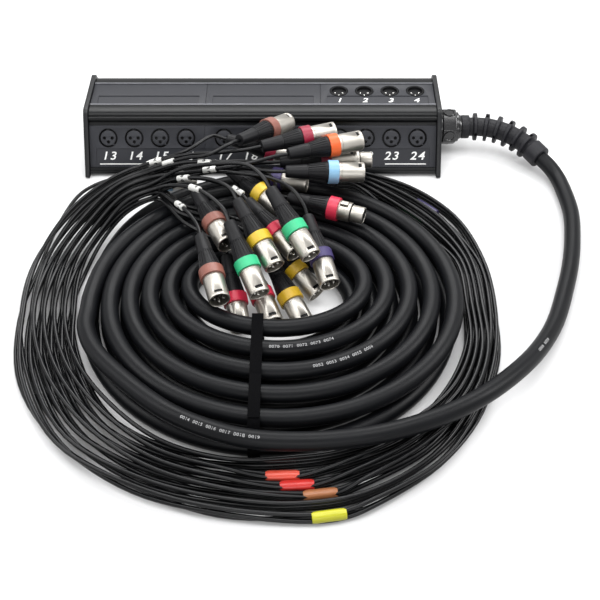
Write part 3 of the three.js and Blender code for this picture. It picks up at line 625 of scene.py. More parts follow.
def turned(name, stations, sides=32):
    """A turned body along +Z through (height, radius) stations in mm."""
    only()
    start, radius = stations[0]
    bpy.ops.mesh.primitive_circle_add(vertices=sides, radius=radius * MM, fill_type="NGON",
                                      location=(0, 0, start * MM))
    obj = bpy.context.object
    obj.name = name
    bpy.ops.object.transform_apply(location=True)
    mode("EDIT")
    for (low, inner), (high, outer) in zip(stations, stations[1:]):
        rise = (0, 0, (high - low) * MM)
        bpy.ops.mesh.extrude_region_move(TRANSFORM_OT_translate={"value": rise})
        if outer != inner:
            grow = outer / inner
            bpy.ops.transform.resize(value=(grow, grow, 1), center_override=(0, 0, high * MM))
    end_edit()
    return obj


# %% [markdown]
# A key, a tab or a cutter is a cube, added at its size and place, with its sharp edges rounded
# by a bevel where it stays to be seen.

# %% Blocks and soft edges
def softened(obj, width, segments=2):
    """Rounds the sharp edges by a bevel, in mm."""
    bevel = obj.modifiers.new("soft edges", "BEVEL")
    bevel.width = width * MM
    bevel.segments = segments
    bevel.limit_method = "ANGLE"
    only(obj)
    bpy.ops.object.modifier_apply(modifier=bevel.name)
    return obj


def block(name, size, centre, edge):
    """A block in mm, with its edges rounded by an amount, or sharp with 0."""
    only()
    bpy.ops.mesh.primitive_cube_add(size=1, location=[c * MM for c in centre])
    obj = bpy.context.object
    obj.name = name
    obj.scale = [s * MM for s in size]
    bpy.ops.object.transform_apply(location=True, rotation=True, scale=True)
    return softened(obj, edge) if edge else obj


# %% [markdown]
# A plate starts as a flat curve: closed outlines, the first one its rim and the others its
# holes, filled and given a thickness with softened edges.

# %% Outlines and plates
OUTLINE_STEPS = 8
MERGE = 0.00001


def circle(radius, x=0.0, y=0.0, sides=48):
    turns = [2 * math.pi * i / sides for i in range(sides)]
    return [(x + radius * math.cos(turn), y + radius * math.sin(turn)) for turn in turns]


def rectangle(low_x, low_y, high_x, high_y):
    return [(low_x, low_y), (high_x, low_y), (high_x, high_y), (low_x, high_y)]


def arc(start, corner, end):
    """Points of a rounded corner, from a start to an end."""
    shares = [k / OUTLINE_STEPS for k in range(OUTLINE_STEPS + 1)]
    points = [start * (1 - t) ** 2 + corner * 2 * t * (1 - t) + end * t * t for t in shares]
    return [(point.x, point.y) for point in points]


def rounded(corners, radius):
    """An outline through (x, y) corners that are all rounded by a radius."""
    points = []
    for i, corner in enumerate(corners):
        here = Vector(corner)
        before = (Vector(corners[i - 1]) - here).normalized()
        after = (Vector(corners[(i + 1) % len(corners)]) - here).normalized()
        points += arc(here + before * radius, here, here + after * radius)
    return points


def plate(name, outlines, thickness, edge=0.0):
    """A plate in the XY plane from z = 0 down, in mm, from a flat curve."""
    curve = bpy.data.curves.new(name, "CURVE")
    curve.dimensions = "2D"
    curve.fill_mode = "BOTH"
    curve.extrude = (thickness / 2 - edge) * MM
    curve.bevel_depth = edge * MM
    curve.bevel_resolution = 1
    curve.offset = -edge * MM
    for outline in outlines:
        run = curve.splines.new("POLY")
        run.points.add(len(outline) - 1)
        for point, (x, y) in zip(run.points, outline):
            point.co = (x * MM, y * MM, 0, 1)
        run.use_cyclic_u = True
    obj = bpy.data.objects.new(name, curve)
    bpy.context.scene.collection.objects.link(obj)
    only(obj)
    bpy.ops.object.convert(target="MESH")
    mode("EDIT")
    end_edit(merge=MERGE)
    obj = bpy.context.object
    obj.data.transform(Matrix.Translation((0, 0, -thickness / 2 * MM)))
    return obj


# %% [markdown]
# A piece gets its materials and smooth shading, and then its place. The place goes into the mesh
# itself, so that every object stays at the origin. Last, the piece is attached to the body it
# moves with, and the CAD nodes it stands for are hidden.

# %% Finishing, placing and fitting
SMOOTH_ANGLE = math.radians(35)


def finished(obj, *materials):
    """Gives an object its materials, the first one on every face, and smooth shading."""
    obj.data.materials.clear()
    for material in materials:
        obj.data.materials.append(material)
    only(obj)
    bpy.ops.object.shade_smooth_by_angle(angle=SMOOTH_ANGLE)
    return obj


def joined(name, *objects):
    only(*objects)
    bpy.ops.object.join()
    bpy.context.object.name = name
    bpy.context.object.data.name = name
    return bpy.context.object


def moved(obj, matrix):
    """Puts an object in its place by moving its points. The matrix is in mm."""
    place = matrix.copy()
    place.translation = place.translation * MM
    obj.data.transform(place)
    return obj


def copied(obj, name, matrix):
    """A copy with its own mesh, moved to its place."""
    twin = obj.copy()
    twin.data = obj.data.copy()
    twin.name = twin.data.name = name
    bpy.context.scene.collection.objects.link(twin)
    return moved(twin, matrix)


def cut(obj, cutter):
    """Cuts one object out of another."""
    difference = obj.modifiers.new("cut", "BOOLEAN")
    difference.operation = "DIFFERENCE"
    difference.object = cutter
    difference.solver = "EXACT"
    only(obj)
    bpy.ops.object.modifier_apply(modifier=difference.name)
    bpy.data.objects.remove(cutter)
    return obj


def shift(x, y, z):
    return Matrix.Translation((x, y, z))


def fitted(obj, slot, *nodes, body="stage_box"):
    """Attaches a piece to the body it rides on and hides the nodes it replaces. The slot is not
    used.
    """
    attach(obj, body)
    if nodes:
        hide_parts(*nodes)
    return obj


# %% [markdown]
# ## The box's section
# The CAD model gives the end plates as trapezoids and the extrusion 3 mm inside them. The same
# few sizes give the slope's angle and the three faces that carry panels. In a face's own axes x
# runs along the box, y up the face and z out of it.

# %% Sizes of the box
BASE_DEPTH, TOP_DEPTH, END_HEIGHT, END_THICK = 148.6, 68.4, 60, 5
PROUD = 3
WALL = 4
SHELL_TOP, SHELL_FOOT = END_HEIGHT - PROUD, PROUD
box_half = -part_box("end_plate_left")[0].x / MM
slope_run = (BASE_DEPTH - TOP_DEPTH) / 2
SLOPE = math.atan2(END_HEIGHT, slope_run)
SHELL_LENGTH = 2 * (box_half - END_THICK - SEAT)
PANEL_LENGTH = SHELL_LENGTH / 3 - SEAT
PANEL_THICK = 2
TOP_PANEL_WIDTH = 37
DROP, FOOT_LIP = 14.4, 7.35
SIDE_PANEL_WIDTH = (SHELL_TOP - SHELL_FOOT) / math.sin(SLOPE) - DROP - FOOT_LIP
SOCKET_PITCH, SIDE_RISE, TOP_RISE = 27.2, 8.6, 5.5
SOCKET_X = [(i - 1.5) * SOCKET_PITCH for i in range(4)]
PANEL_X = [place * (PANEL_LENGTH + SEAT) for place in (-1, 0, 1)]


def shell_half(z, depth):
    return BASE_DEPTH / 2 - slope_run * z / END_HEIGHT - (PROUD + depth) / math.sin(SLOPE)


def on_slope(drop, depth):
    """(y, z) of the front slope, a way down from the top edge and a depth below its face."""
    z = SHELL_TOP - drop * math.sin(SLOPE)
    return -(shell_half(z, 0) - depth * math.sin(SLOPE)), z - depth * math.cos(SLOPE)


face_z = SHELL_TOP - (DROP + SIDE_PANEL_WIDTH / 2) * math.sin(SLOPE)
front_face = shift(0, -shell_half(face_z, 0), face_z) @ Matrix.Rotation(SLOPE, 4, "X")
rear_face = Matrix.Rotation(math.pi, 4, "Z") @ front_face
top_face = shift(0, 0, SHELL_TOP)
# A plate drawn in the XY plane, stood up in the YZ plane
UPRIGHT = Matrix(((0, 0, 1, 0), (1, 0, 0, 0), (0, 1, 0, 0), (0, 0, 0, 1)))
print("slope", round(math.degrees(SLOPE), 1), "degrees; side panel", round(SIDE_PANEL_WIDTH, 2),
      "mm")

# %% [markdown]
# ## The extrusion
# The profile is the longest piece and catches the most light, so its section matters: a thin
# bead at the top panel's edge, a rounded shoulder, a fine seam, a convex bead along the slope,
# then the channel that holds the side panels, and the lip above the foot. The outline is drawn
# once for the front and mirrored to the rear, then stretched along the box as one flat curve.

# %% Section of the extrusion
SHOULDER_TOP, SHOULDER_SIDE = 11.2, 4.2
trough = TOP_PANEL_WIDTH / 2 + SEAT
recess = PANEL_THICK + SEAT
channel_end = DROP + SIDE_PANEL_WIDTH
# out from the top panel's trough, and up from the top face
top_bead = [(0, -recess), (0, 0.3), (0.4, 0.8), (1.2, 0.8), (1.7, 0.2), (2.2, -0.1)]
# down the slope, and into it
slope_beads = [(4.5, 0.7), (5.0, 0.7), (5.2, 0.1), (6.0, -0.5), (7.3, -0.8), (8.6, -0.6),
               (9.5, 0.0), (9.9, 0.9), (10.4, 1.9), (11.2, recess), (channel_end + SEAT, recess),
               (channel_end + SEAT, 0.4), (channel_end + 0.7, 0), (60.6, 0), (60.9, 0.4),
               (61.3, 0.4), (61.6, 0), (63.6, 0), (64.5, 0.2)]
corner = Vector((-shell_half(SHELL_TOP, 0), SHELL_TOP))
front_edge = [(-trough - out, SHELL_TOP + up) for out, up in top_bead]
front_edge += arc(corner + Vector((SHOULDER_TOP, 0)), corner, Vector(on_slope(SHOULDER_SIDE, 0)))
front_edge += [on_slope(drop, depth) for drop, depth in slope_beads]
front_edge += [(-shell_half(SHELL_FOOT, 0.8), SHELL_FOOT),
               (-shell_half(SHELL_FOOT, WALL), SHELL_FOOT),
               (-shell_half(SHELL_TOP - WALL, WALL), SHELL_TOP - WALL)]
section = front_edge + [(-y, z) for y, z in reversed(front_edge)]
print("section of", len(section), "points")

# %% [markdown]
# Behind each panel that carries sockets the extrusion has a window. The thin beads at the top
# panel's edge catch the light, so their faces get the second finish: a lighter tone that is a
# painted highlight.

# %% Extrusion
WINDOW_MARGIN, WINDOW_DEPTH = 1.4, 16
BEAD_RISE = 0.35


def window(width, x):
    """A block that cuts the opening behind a panel."""
    size = (PANEL_LENGTH - 2 * WINDOW_MARGIN, width - 2 * WINDOW_MARGIN, WINDOW_DEPTH)
    return block("window", size, (x, 0, 0), edge=0)


extrusion = plate("extrusion", [section], SHELL_LENGTH)
moved(extrusion, UPRIGHT @ shift(0, 0, SHELL_LENGTH / 2))
windows = [moved(window(SIDE_PANEL_WIDTH, x), face) for face in (front_face, rear_face)
           for x in PANEL_X]
windows.append(moved(window(TOP_PANEL_WIDTH, PANEL_X[2]), top_face))
cut(extrusion, joined("windows", *windows))
finished(extrusion, ANODISED, BEAD_HIGHLIGHT)
# the faces high on the beads get the painted highlight
for face in extrusion.data.polygons:
    if face.center.z > (SHELL_TOP + BEAD_RISE) * MM:
        face.material_index = 1
fitted(extrusion, "profile", "profile_shell")
print("extrusion", len(extrusion.data.polygons), "faces")

# %% [markdown]
# The base plate only shows from below, and its plain CAD solid has the right shape, so it stays
# and gets the powder coat.

# %% Base plate
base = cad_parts["base_plate"]
base.data.materials.clear()
base.data.materials.append(COATED)
print("base plate keeps", len(base.data.polygons), "faces")

# %% [markdown]
# ## End plates
# The box stands on two moulded end plates. Their rims are rounded, and countersunk screws hold
# them to the extrusion. The right one has the hole for the cable gland. One screw is modelled,
# with its cross recess, and copied.

# %% End plates and screws
END_CORNER = 5
GLAND_Y, GLAND_Z, ENTRY_RADIUS = -16, 26, 11
SCREW_PLACES = [(-26, 51), (26, 51), (-58, 9.5), (58, 9.5)]
top, foot = TOP_DEPTH / 2, BASE_DEPTH / 2
end_outline = rounded([(-foot, 0), (foot, 0), (top, END_HEIGHT), (-top, END_HEIGHT)], END_CORNER)
screw = turned("screw", [(-1.2, 1.2), (-0.2, 3.1), (0.15, 3.1), (0.45, 2.7), (0.6, 1.6)], 24)
for slot_size in ((3.2, 0.7, 2), (0.7, 3.2, 2)):
    cut(screw, block("slot", slot_size, (0, 0, 0.9), edge=0))
finished(screw, SCREW_BLACK)
for name, side in (("end_plate_left", -1), ("end_plate_right", 1)):
    outlines, outer = [end_outline], END_THICK - box_half
    if side > 0:
        outlines.append(circle(ENTRY_RADIUS + SEAT, GLAND_Y, GLAND_Z))
        outer = box_half
    cover = plate("end cover", outlines, END_THICK, edge=0.9)
    pieces = [finished(moved(cover, shift(outer, 0, 0) @ UPRIGHT), END_PLASTIC)]
    for i, (y, z) in enumerate(SCREW_PLACES):
        turn = Matrix.Rotation(side * math.pi / 2, 4, "Y") @ Matrix.Rotation(0.4 + i, 4, "Z")
        pieces.append(copied(screw, "screw", shift(side * box_half, y, z) @ turn))
    fitted(joined(name.replace("plate", "cover"), *pieces), "end_plate", name)
bpy.data.objects.remove(screw)
print("end covers with", 2 * len(SCREW_PLACES), "screws")

# %% [markdown]
# ## Panels
# Each face carries three plates side by side. A side plate has four round holes and a shallow
# recess for a label strip under them. The top plates have such a recess along their front edge,
# and only the right one has holes. A hole's rim is broken by a fine edge, which catches light.

# %% Panels
HOLE_RADIUS, HOLE_EDGE = 9.9, 0.18
# the middle of the 1 mm block that cuts a recess 0.7 mm deep
RECESS_MIDDLE = -0.2
# a side strip ends this far from the box's ends and overruns the joints between panels
STRIP_END, STRIP_OVERRUN = 6.5, -1
half_panel = PANEL_LENGTH / 2


def panel(name, node, width, rise, holes, strip, face, x):
    """A panel plate with holes and a label recess, given as low x, low y, high x, high y."""
    outlines = [rectangle(-half_panel, -width / 2, half_panel, width / 2)]
    if holes:
        outlines += [circle(HOLE_RADIUS, place, rise) for place in SOCKET_X]
    obj = plate(name, outlines, PANEL_THICK, edge=HOLE_EDGE)
    low_x, low_y, high_x, high_y = strip
    cut(obj, block("label recess", (high_x - low_x, high_y - low_y, 1),
                   ((low_x + high_x) / 2, (low_y + high_y) / 2, RECESS_MIDDLE), edge=0))
    fitted(moved(finished(obj, COATED), face @ shift(x, 0, 0)), "plate", node)


for i, letter in enumerate("abc"):
    low = -half_panel + (STRIP_END if i == 0 else STRIP_OVERRUN)
    high = half_panel - (STRIP_END if i == 2 else STRIP_OVERRUN)
    foot, head = -SIDE_PANEL_WIDTH / 2 + 1.6, -2.2
    panel(f"front_plate_{letter}", f"front_panel_{letter}", SIDE_PANEL_WIDTH, SIDE_RISE, True,
          (low, foot, high, head), front_face, PANEL_X[i])
    panel(f"rear_plate_{letter}", f"rear_panel_{letter}", SIDE_PANEL_WIDTH, SIDE_RISE, True,
          (-high, foot, -low, head), rear_face, -PANEL_X[i])
    panel(f"top_plate_{letter}", f"top_panel_{letter}", TOP_PANEL_WIDTH, TOP_RISE, i == 2,
          (-half_panel + 7, -TOP_PANEL_WIDTH / 2 - 1, half_panel - 7, -3.6), top_face, PANEL_X[i])
print("nine panels")

# %% [markdown]
# ## Panel sockets
# A female panel socket is a round insert in a wider hole, so a dark groove is left round it. Its
# face has three contact holes, two level with its centre and one below, and a small tab stands
# in the groove at the top. The inserts stand on a carrier strip behind the panel. One set of
# four is made and copied to the six side panels.

# %% Female sockets
PIN_CIRCLE = 4.05
PIN_PLACES = [(PIN_CIRCLE, 0), (0, -PIN_CIRCLE), (-PIN_CIRCLE, 0)]
CARRIER = (3 * SOCKET_PITCH + 22.4, 22.4, 2)
CARRIER_Z = -3.4
insert_outlines = [circle(7.85)] + [circle(1.75, px, py, 20) for px, py in PIN_PLACES]
wall_stations = [(-16, 9.6), (-3.2, 9.6), (-3.2, 9.2), (-12, 9.1), (-12, 7.6)]
pieces = []
for x in SOCKET_X:
    face = plate("insert face", insert_outlines, 7, edge=0.22)
    rim = turned("insert rim", [(-16, 7.9), (-7, 7.9)], 40)
    key = block("key", (1.5, 1.4, 5), (5.5, -6.6, -2.3), edge=0.2)
    insert = finished(joined("insert", face, rim, key), INSERT_GREY)
    pieces.append(moved(insert, shift(x, SIDE_RISE, -0.1)))
    tab = block("tab", (3.4, 1.5, 5), (x, SIDE_RISE + 8.75, -2.7), edge=0.4)
    ring = finished(turned("groove wall", wall_stations, 40), SOCKET_BLACK_AND_SHADE)
    pieces += [finished(tab, SOCKET_BLACK_AND_SHADE), moved(ring, shift(x, SIDE_RISE, 0))]
strip = finished(block("carrier", CARRIER, (0, SIDE_RISE, CARRIER_Z), edge=0.4), SOCKET_BLACK_AND_SHADE)
socket_set = joined("socket set", strip, *pieces)
for side, face, order in (("front", front_face, 1), ("rear", rear_face, -1)):
    for letter, x in zip("abc", PANEL_X):
        sockets = copied(socket_set, f"{side}_inserts_{letter}", face @ shift(order * x, 0, 0))
        fitted(sockets, "socket", f"{side}_sockets_{letter}")
print("socket set has", len(socket_set.data.polygons), "faces, six copies")
bpy.data.objects.remove(socket_set)

# %% [markdown]
# The return sockets on top are male: deep black cups with three bright pins that stand up from
# the floor and stop just below the rim. A pin's end is rounded, so that a plug finds it.

# %% Return sockets
cup_stations = [(-16, 9.2), (-0.3, 9.2), (0, 8.95), (0, 8.05), (-0.4, 7.8), (-14, 7.7)]
pieces = [finished(block("carrier", CARRIER, (0, TOP_RISE, CARRIER_Z), edge=0.4), SOCKET_BLACK_AND_SHADE)]
pin = turned("pin", [(-14.2, 1.15), (-3, 1.15), (-2.4, 0.95), (-2.1, 0.55)], 16)
finished(pin, CONTACT)
for x in SOCKET_X:
    cup = finished(turned("cup", cup_stations, 48), SOCKET_BLACK_AND_SHADE)
    pieces.append(moved(cup, shift(x, TOP_RISE, 0)))
    pieces += [copied(pin, "pin", shift(x + px, TOP_RISE + py, 0)) for px, py in PIN_PLACES]
bpy.data.objects.remove(pin)
cups = moved(joined("return_cups", *pieces), top_face @ shift(PANEL_X[2], 0, 0))
fitted(cups, "socket", "return_sockets")
print("return cups", len(cups.data.polygons), "faces")

# %% [markdown]
# ## Numbers and lines
# Channel numbers are printed in white: plain slanted figures under each socket and a thin line
# under the figures. Blender's own font is sheared and thickened, made a mesh, and laid a
# twentieth of a millimetre above the floor of the label recess.

# %% Figures and lines
CAPITAL_SHARE = 0.71
STRETCH = 1.15
INK_THICK = 0.00002
LINE_WIDTH = 1.1


def figure(text, height, place, bold, shear=0.22, spacing=1.22):
    """Flat figures of a height in mm, thickened by bold in metres."""
    only()
    bpy.ops.object.text_add()
    obj = bpy.context.object
    letters = obj.data
    letters.body = text
    letters.size = height / CAPITAL_SHARE * MM
    letters.offset = bold
    letters.shear = shear
    letters.space_character = spacing
    letters.align_x = "CENTER"
    letters.align_y = "CENTER"
    letters.extrude = INK_THICK
    letters.resolution_u = 6
    only(obj)
    bpy.ops.object.convert(target="MESH")
    return moved(bpy.context.object, place @ Matrix.Diagonal((STRETCH, 1, 1, 1)))


def line(low, high, y, z):
    """A printed line, made from a plane."""
    only()
    bpy.ops.mesh.primitive_plane_add(size=1, location=((low + high) / 2 * MM, y * MM, z * MM))
    obj = bpy.context.object
    obj.scale = ((high - low) * MM, LINE_WIDTH * MM, 1)
    bpy.ops.object.transform_apply(location=True, scale=True)
    mode("EDIT")
    bpy.ops.mesh.extrude_region_move(TRANSFORM_OT_translate={"value": (0, 0, INK_THICK)})
    mode("OBJECT")
    return obj


# %% Printed numbers
FACE_MIDDLE = DROP + SIDE_PANEL_WIDTH / 2
NUMBER_Y, LINE_Y = FACE_MIDDLE - 46.2, FACE_MIDDLE - 54.4
RETURN_NUMBER_Y = -11.3
STRIP_Z = -0.65
# a line stops short of the box's ends, and leaves a gap in the middle of the right panel
LINE_END, LINE_GAP = 10, 14.6
for side, face, first in (("front", front_face, 13), ("rear", rear_face, 1)):
    marks = []
    for p, panel_x in enumerate(PANEL_X):
        for i, x in enumerate(SOCKET_X):
            marks.append(figure(str(first + 4 * p + i), 8.4,
                                shift(panel_x + x, NUMBER_Y, STRIP_Z), bold=0.0002))
        low = panel_x - half_panel + (LINE_END if p == 0 else 0)
        high = panel_x + half_panel - (LINE_END if p == 2 else 0)
        if p == 2:
            marks.append(line(low, panel_x - LINE_GAP / 2, LINE_Y, STRIP_Z))
            low = panel_x + LINE_GAP / 2
        marks.append(line(low, high, LINE_Y, STRIP_Z))
    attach(moved(finished(joined(f"{side}_numbers", *marks), PRINT_WHITE), face), "stage_box")
marks = [figure(str(i + 1), 7.4, shift(PANEL_X[2] + x, RETURN_NUMBER_Y, STRIP_Z), bold=0.00012)
         for i, x in enumerate(SOCKET_X)]
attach(moved(finished(joined("top_numbers", *marks), PRINT_WHITE), top_face), "stage_box")
print("numbers on three faces")

# %% [markdown]
# ## Cable gland
# The cable enters through a gland: a flange on the end plate, a faceted body that a spanner
# fits, and a dome nut. The body is a turned piece with eight sides, softened, and a low disc
# stands on every second side.

# %% Gland
flange_stations = [(-END_THICK - 6, 15), (-END_THICK - SEAT, 15), (-END_THICK - SEAT, 10.9),
                   (0, 10.9), (0, 17.6), (0.4, 18), (2.6, 18), (3, 17.6), (3, 15)]
body_stations = [(3, 17), (3.4, 19), (17, 19), (18.4, 17.8), (18.4, 15)]
nut_stations = [(18, 15.6), (20.4, 15.6), (20.9, 15.1), (20.9, 13.4), (22, 13.2), (23.6, 12.4),
                (24, 11.2)]
DISC_OUT, DISC_ALONG = 17.2, 10.5
along_x = Matrix.Rotation(math.pi / 2, 4, "Y")
flange = turned("gland flange", flange_stations, 48)
body = softened(turned("gland body", body_stations, 8), 1.0, 3)
moved(body, Matrix.Rotation(math.pi / 8, 4, "Z"))
nut = turned("dome nut", nut_stations, 48)
disc = turned("gland disc", [(0, 6.2), (1.2, 6.2), (1.6, 5.8), (1.6, 4.6), (1.0, 4.2)], 40)
out_from_axis = shift(DISC_OUT, 0, DISC_ALONG) @ along_x
discs = [copied(disc, "gland disc", Matrix.Rotation(turn, 4, "Z") @ out_from_axis)
         for turn in (math.pi, -math.pi / 2, math.pi / 2, 0)]
bpy.data.objects.remove(disc)
gland = joined("gland", *[finished(piece, GLAND_NYLON) for piece in (flange, body, nut, *discs)])
moved(gland, shift(box_half + SEAT, GLAND_Y, GLAND_Z) @ along_x)
fitted(gland, "gland", "cable_gland")
print("gland", len(gland.data.polygons), "faces")

# %% [markdown]
# ## Bend relief
# A rubber sleeve with separate ribs keeps the cable from kinking at the gland. It is turned
# straight, and its points are then carried over to the cable's curve, each at its own distance
# along it. Every rib is broken by notches on alternate sides, which lets the sleeve bend.

# %% Bend relief
RELIEF_ROUTE = [(211.85, -16, 26), (222, -16, 26), (234, -17, 26.4), (248, -21, 26.4),
                (264, -29, 24.6), (280, -42, 20.6), (292.5, -58, 16)]
RIBS, RIB_WIDTH, RIB_RADIUS, CORE_RADIUS, COLLAR_RADIUS = 6, 3.8, 14.6, 9.9, 12
NECK, COLLAR = 9, 15
# half width, in degrees, and depth of the notches that break the ribs
NOTCH_TURN, NOTCH_DEPTH = 10, 0.0026
relief_line = spline(vectors(RELIEF_ROUTE), 24)
relief_length = run_length(relief_line)
rib_pitch = (relief_length - NECK - COLLAR) / RIBS
rib_places = [NECK + (i + 0.5) * rib_pitch for i in range(RIBS)]
stations = [(0, COLLAR_RADIUS), (0.6, COLLAR_RADIUS + 0.4), (NECK - 1.2, COLLAR_RADIUS + 0.4),
            (NECK - 0.6, COLLAR_RADIUS), (NECK, CORE_RADIUS)]
for middle in rib_places:
    for way, radius in ((-2.7, CORE_RADIUS), (-2.2, CORE_RADIUS + 0.6), (-1.9, RIB_RADIUS - 0.5),
                        (-1.4, RIB_RADIUS), (1.4, RIB_RADIUS), (1.9, RIB_RADIUS - 0.5),
                        (2.2, CORE_RADIUS + 0.6), (2.7, CORE_RADIUS)):
        stations.append((middle + way, radius))
collar_start = relief_length - COLLAR
stations += [(collar_start - 0.4, CORE_RADIUS), (collar_start, COLLAR_RADIUS - 0.6),
             (collar_start + 0.8, COLLAR_RADIUS), (relief_length - 0.9, COLLAR_RADIUS),
             (relief_length, COLLAR_RADIUS - 0.8), (relief_length, CABLE_RADIUS + 0.3)]
relief = turned("relief", stations, 40)
mode("EDIT")
body = bmesh.from_edit_mesh(relief.data)
for face in body.faces:
    centre = face.calc_center_median() / MM
    rib = min(range(RIBS), key=lambda i: abs(rib_places[i] - centre.z))
    turn = math.degrees(math.atan2(centre.y, centre.x)) % 180
    middle = 90 if rib % 2 else 0
    off = min(abs(turn - middle), 180 - abs(turn - middle))
    on_rib = abs(centre.z - rib_places[rib]) < RIB_WIDTH / 2 - 0.5
    on_rim = math.hypot(centre.x, centre.y) > RIB_RADIUS - 0.3
    face.select_set(bool(off < NOTCH_TURN and on_rib and on_rim))
bmesh.update_edit_mesh(relief.data)
bpy.ops.mesh.inset(thickness=0.0001)
bpy.ops.mesh.extrude_region_shrink_fatten(TRANSFORM_OT_shrink_fatten={"value": -NOTCH_DEPTH})
mode("OBJECT")
print("relief is", round(relief_length), "mm long with", RIBS, "ribs")

# %% [markdown]
# Every point of the straight sleeve is now carried over to the cable's curve: its height becomes
# the distance along the curve, and its place across stays.

# %% The relief on its curve
def carried(obj, line, start=0.0):
    """Moves a body made along +Z onto a line: z becomes the distance along it."""
    reach = [0.0]
    for a, b in zip(line, line[1:]):
        reach.append(reach[-1] + (b - a).length)
    for vertex in obj.data.vertices:
        along = min(max(vertex.co.z / MM + start, 0), reach[-1])
        k = max(i for i, r in enumerate(reach[:-1]) if r <= along)
        share = (along - reach[k]) / (reach[k + 1] - reach[k])
        centre = line[k].lerp(line[k + 1], share)
        ahead = (line[min(k + 2, len(line) - 1)] - line[max(k - 1, 0)]).normalized()
        side = ahead.cross(UP).normalized()
        vertex.co = centre * MM + side * vertex.co.x + side.cross(ahead) * vertex.co.y
    only(obj)
    mode("EDIT")
    end_edit()
    return obj


fitted(finished(carried(relief, relief_line), RUBBER), "relief", "bend_relief")
print("relief", len(relief.data.polygons), "faces")

# %% [markdown]
# ## The multicore
# The whole cable, from the relief to the fan-out, is one curve with a round bevel. A dense
# straight-sided spline through the route is used, as its length is then exactly the route's.

# %% Multicore cable
def cable(name, line, radius, material, rounds):
    curve = bpy.data.curves.new(name, "CURVE")
    curve.dimensions = "3D"
    curve.bevel_depth = radius * MM
    curve.bevel_resolution = rounds
    curve.use_fill_caps = True
    curve.twist_mode = "Z_UP"
    run = curve.splines.new("POLY")
    run.points.add(len(line) - 1)
    for point, place in zip(run.points, line):
        point.co = (place.x * MM, place.y * MM, place.z * MM, 1)
    run.use_smooth = True
    curve.materials.append(material)
    obj = bpy.data.objects.new(name, curve)
    bpy.context.scene.collection.objects.link(obj)
    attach(obj, "stage_box")
    return obj


multicore = cable("multicore", multicore_line, CABLE_RADIUS, JACKET, 6)
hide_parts("multicore_coil", "multicore_lead")
print("multicore of", len(multicore_line), "points")

# %% [markdown]
# ## Print on the jacket
# A cable's jacket is printed again and again along its length. Here the print is a plain
# counter. Flat figures are made a mesh, wrapped round the jacket a little to the front of its
# top, and carried onto the cable's line. On the coil's front the cable runs to the left, so the
# figures are laid against its way.

# %% Jacket print
PRINT_TILT = math.radians(24)
PRINT_LIFT = 0.03
# points of the route on each side that the longest print may need
PRINT_REACH = 60


def wrapped(ink, radius, turn, way):
    """Wraps flat figures round a tube along +Z: way 1 reads along it, -1 against it."""
    for vertex in ink.data.vertices:
        along, up, out = vertex.co / MM
        angle = up / radius + turn
        reach = radius + PRINT_LIFT + out
        vertex.co = Vector((reach * math.sin(angle), reach * math.cos(angle), way * along)) * MM
    return ink


def jacket_print(text, station):
    """Figures whose middle is at a point of the multicore's route, counted from the box."""
    middle = station * ROUTE_STEPS
    first = max(middle - PRINT_REACH, 0)
    near = multicore_line[first:middle + PRINT_REACH]
    ink = figure(text, 2.5, shift(0, 0, 0), bold=0.00006, shear=0.0, spacing=1.1)
    wrapped(ink, CABLE_RADIUS, -PRINT_TILT, -1)
    return carried(ink, near, run_length(near[:middle - first + 1]))


coil_station = len(LEAD_ROUTE)
PRINTED = [("0008  0009", 9), ("0014  0015  0016  0017  0018  0019", 18),
           ("0052  0053  0054  0055  0056", coil_station + 64),
           ("0070  0071  0072  0073  0074", coil_station + 89)]
jacket_marks = joined("jacket_marks", *[jacket_print(text, station) for text, station in PRINTED])
fitted(finished(jacket_marks, JACKET_INK), "multicore")
print("jacket printed at", len(PRINTED), "places")

# %% [markdown]
# ## Fan-out boot
# A moulded boot grips the multicore and lets the tails out of its mouth. It is a turned piece
# with grip rings, closed at the mouth by a potted face.

# %% Fan-out boot
FANOUT_START = (10, -93.5, 13.9)
GRIP_RINGS, GRIP_PITCH = 4, 3.2
fan_stations = [(0, 8.3), (0, 9.3), (0.6, 9.6), (6, 9.6)]
for i in range(GRIP_RINGS):
    start = 7 + GRIP_PITCH * i
    fan_stations += [(start, 9.6), (start + 0.3, 10.3), (start + 1.7, 10.3), (start + 2, 9.6)]
fan_stations += [(21, 9.7), (40, 13.2), (62.6, 13.4), (63.6, 12.8), (64, 12), (63.2, 11.4)]
fanout = finished(turned("fanout", fan_stations, 48), RUBBER)
fitted(moved(fanout, shift(*FANOUT_START) @ along_x), "relief", "fanout_boot")
print("fan-out boot", len(fanout.data.polygons), "faces")

# %% [markdown]
# ## Strap
# A hook-and-loop band holds the coil's front together. It is drawn as an outline round the
# turns it holds, with its own thickness, and made as wide as the real band. Its free end lies
# on top of it as a flap.

# %% Strap
STRAP_WIDTH, STRAP_X, STRAP_CORNER, STRAP_SLACK = 10, 2, 5, 2.2
reach = CABLE_RADIUS + SEAT
last_front = coil_point(TOP_TURNS + BOTTOM_TURNS - 0.25).y - reach
first_front = coil_point(0.75).y - reach
back_y = coil_point(TOP_TURNS - 0.5).y + reach + STRAP_SLACK
strap_low, strap_high = STRAP_THICK, COIL_TOP + reach


def strap_outline(grow):
    low, high = strap_low - grow, strap_high + grow
    return rounded([(last_front - grow, low), (back_y + grow, low), (back_y + grow, high),
                    (first_front - grow, high), (last_front - grow, COIL_BASE + reach + grow)],
                   STRAP_CORNER)


strap = plate("strap", [strap_outline(STRAP_THICK - 0.1), strap_outline(0.05)], STRAP_WIDTH,
              edge=0.25)
moved(strap, shift(STRAP_X + STRAP_WIDTH / 2, 0, 0) @ UPRIGHT)
flap = block("flap", (9.4, 46, 1.1), (STRAP_X, -398, strap_high + STRAP_THICK + 0.5), edge=0.4)
strap = fitted(finished(joined("strap", strap, flap), STRAP_CLOTH), "strap", "coil_strap")

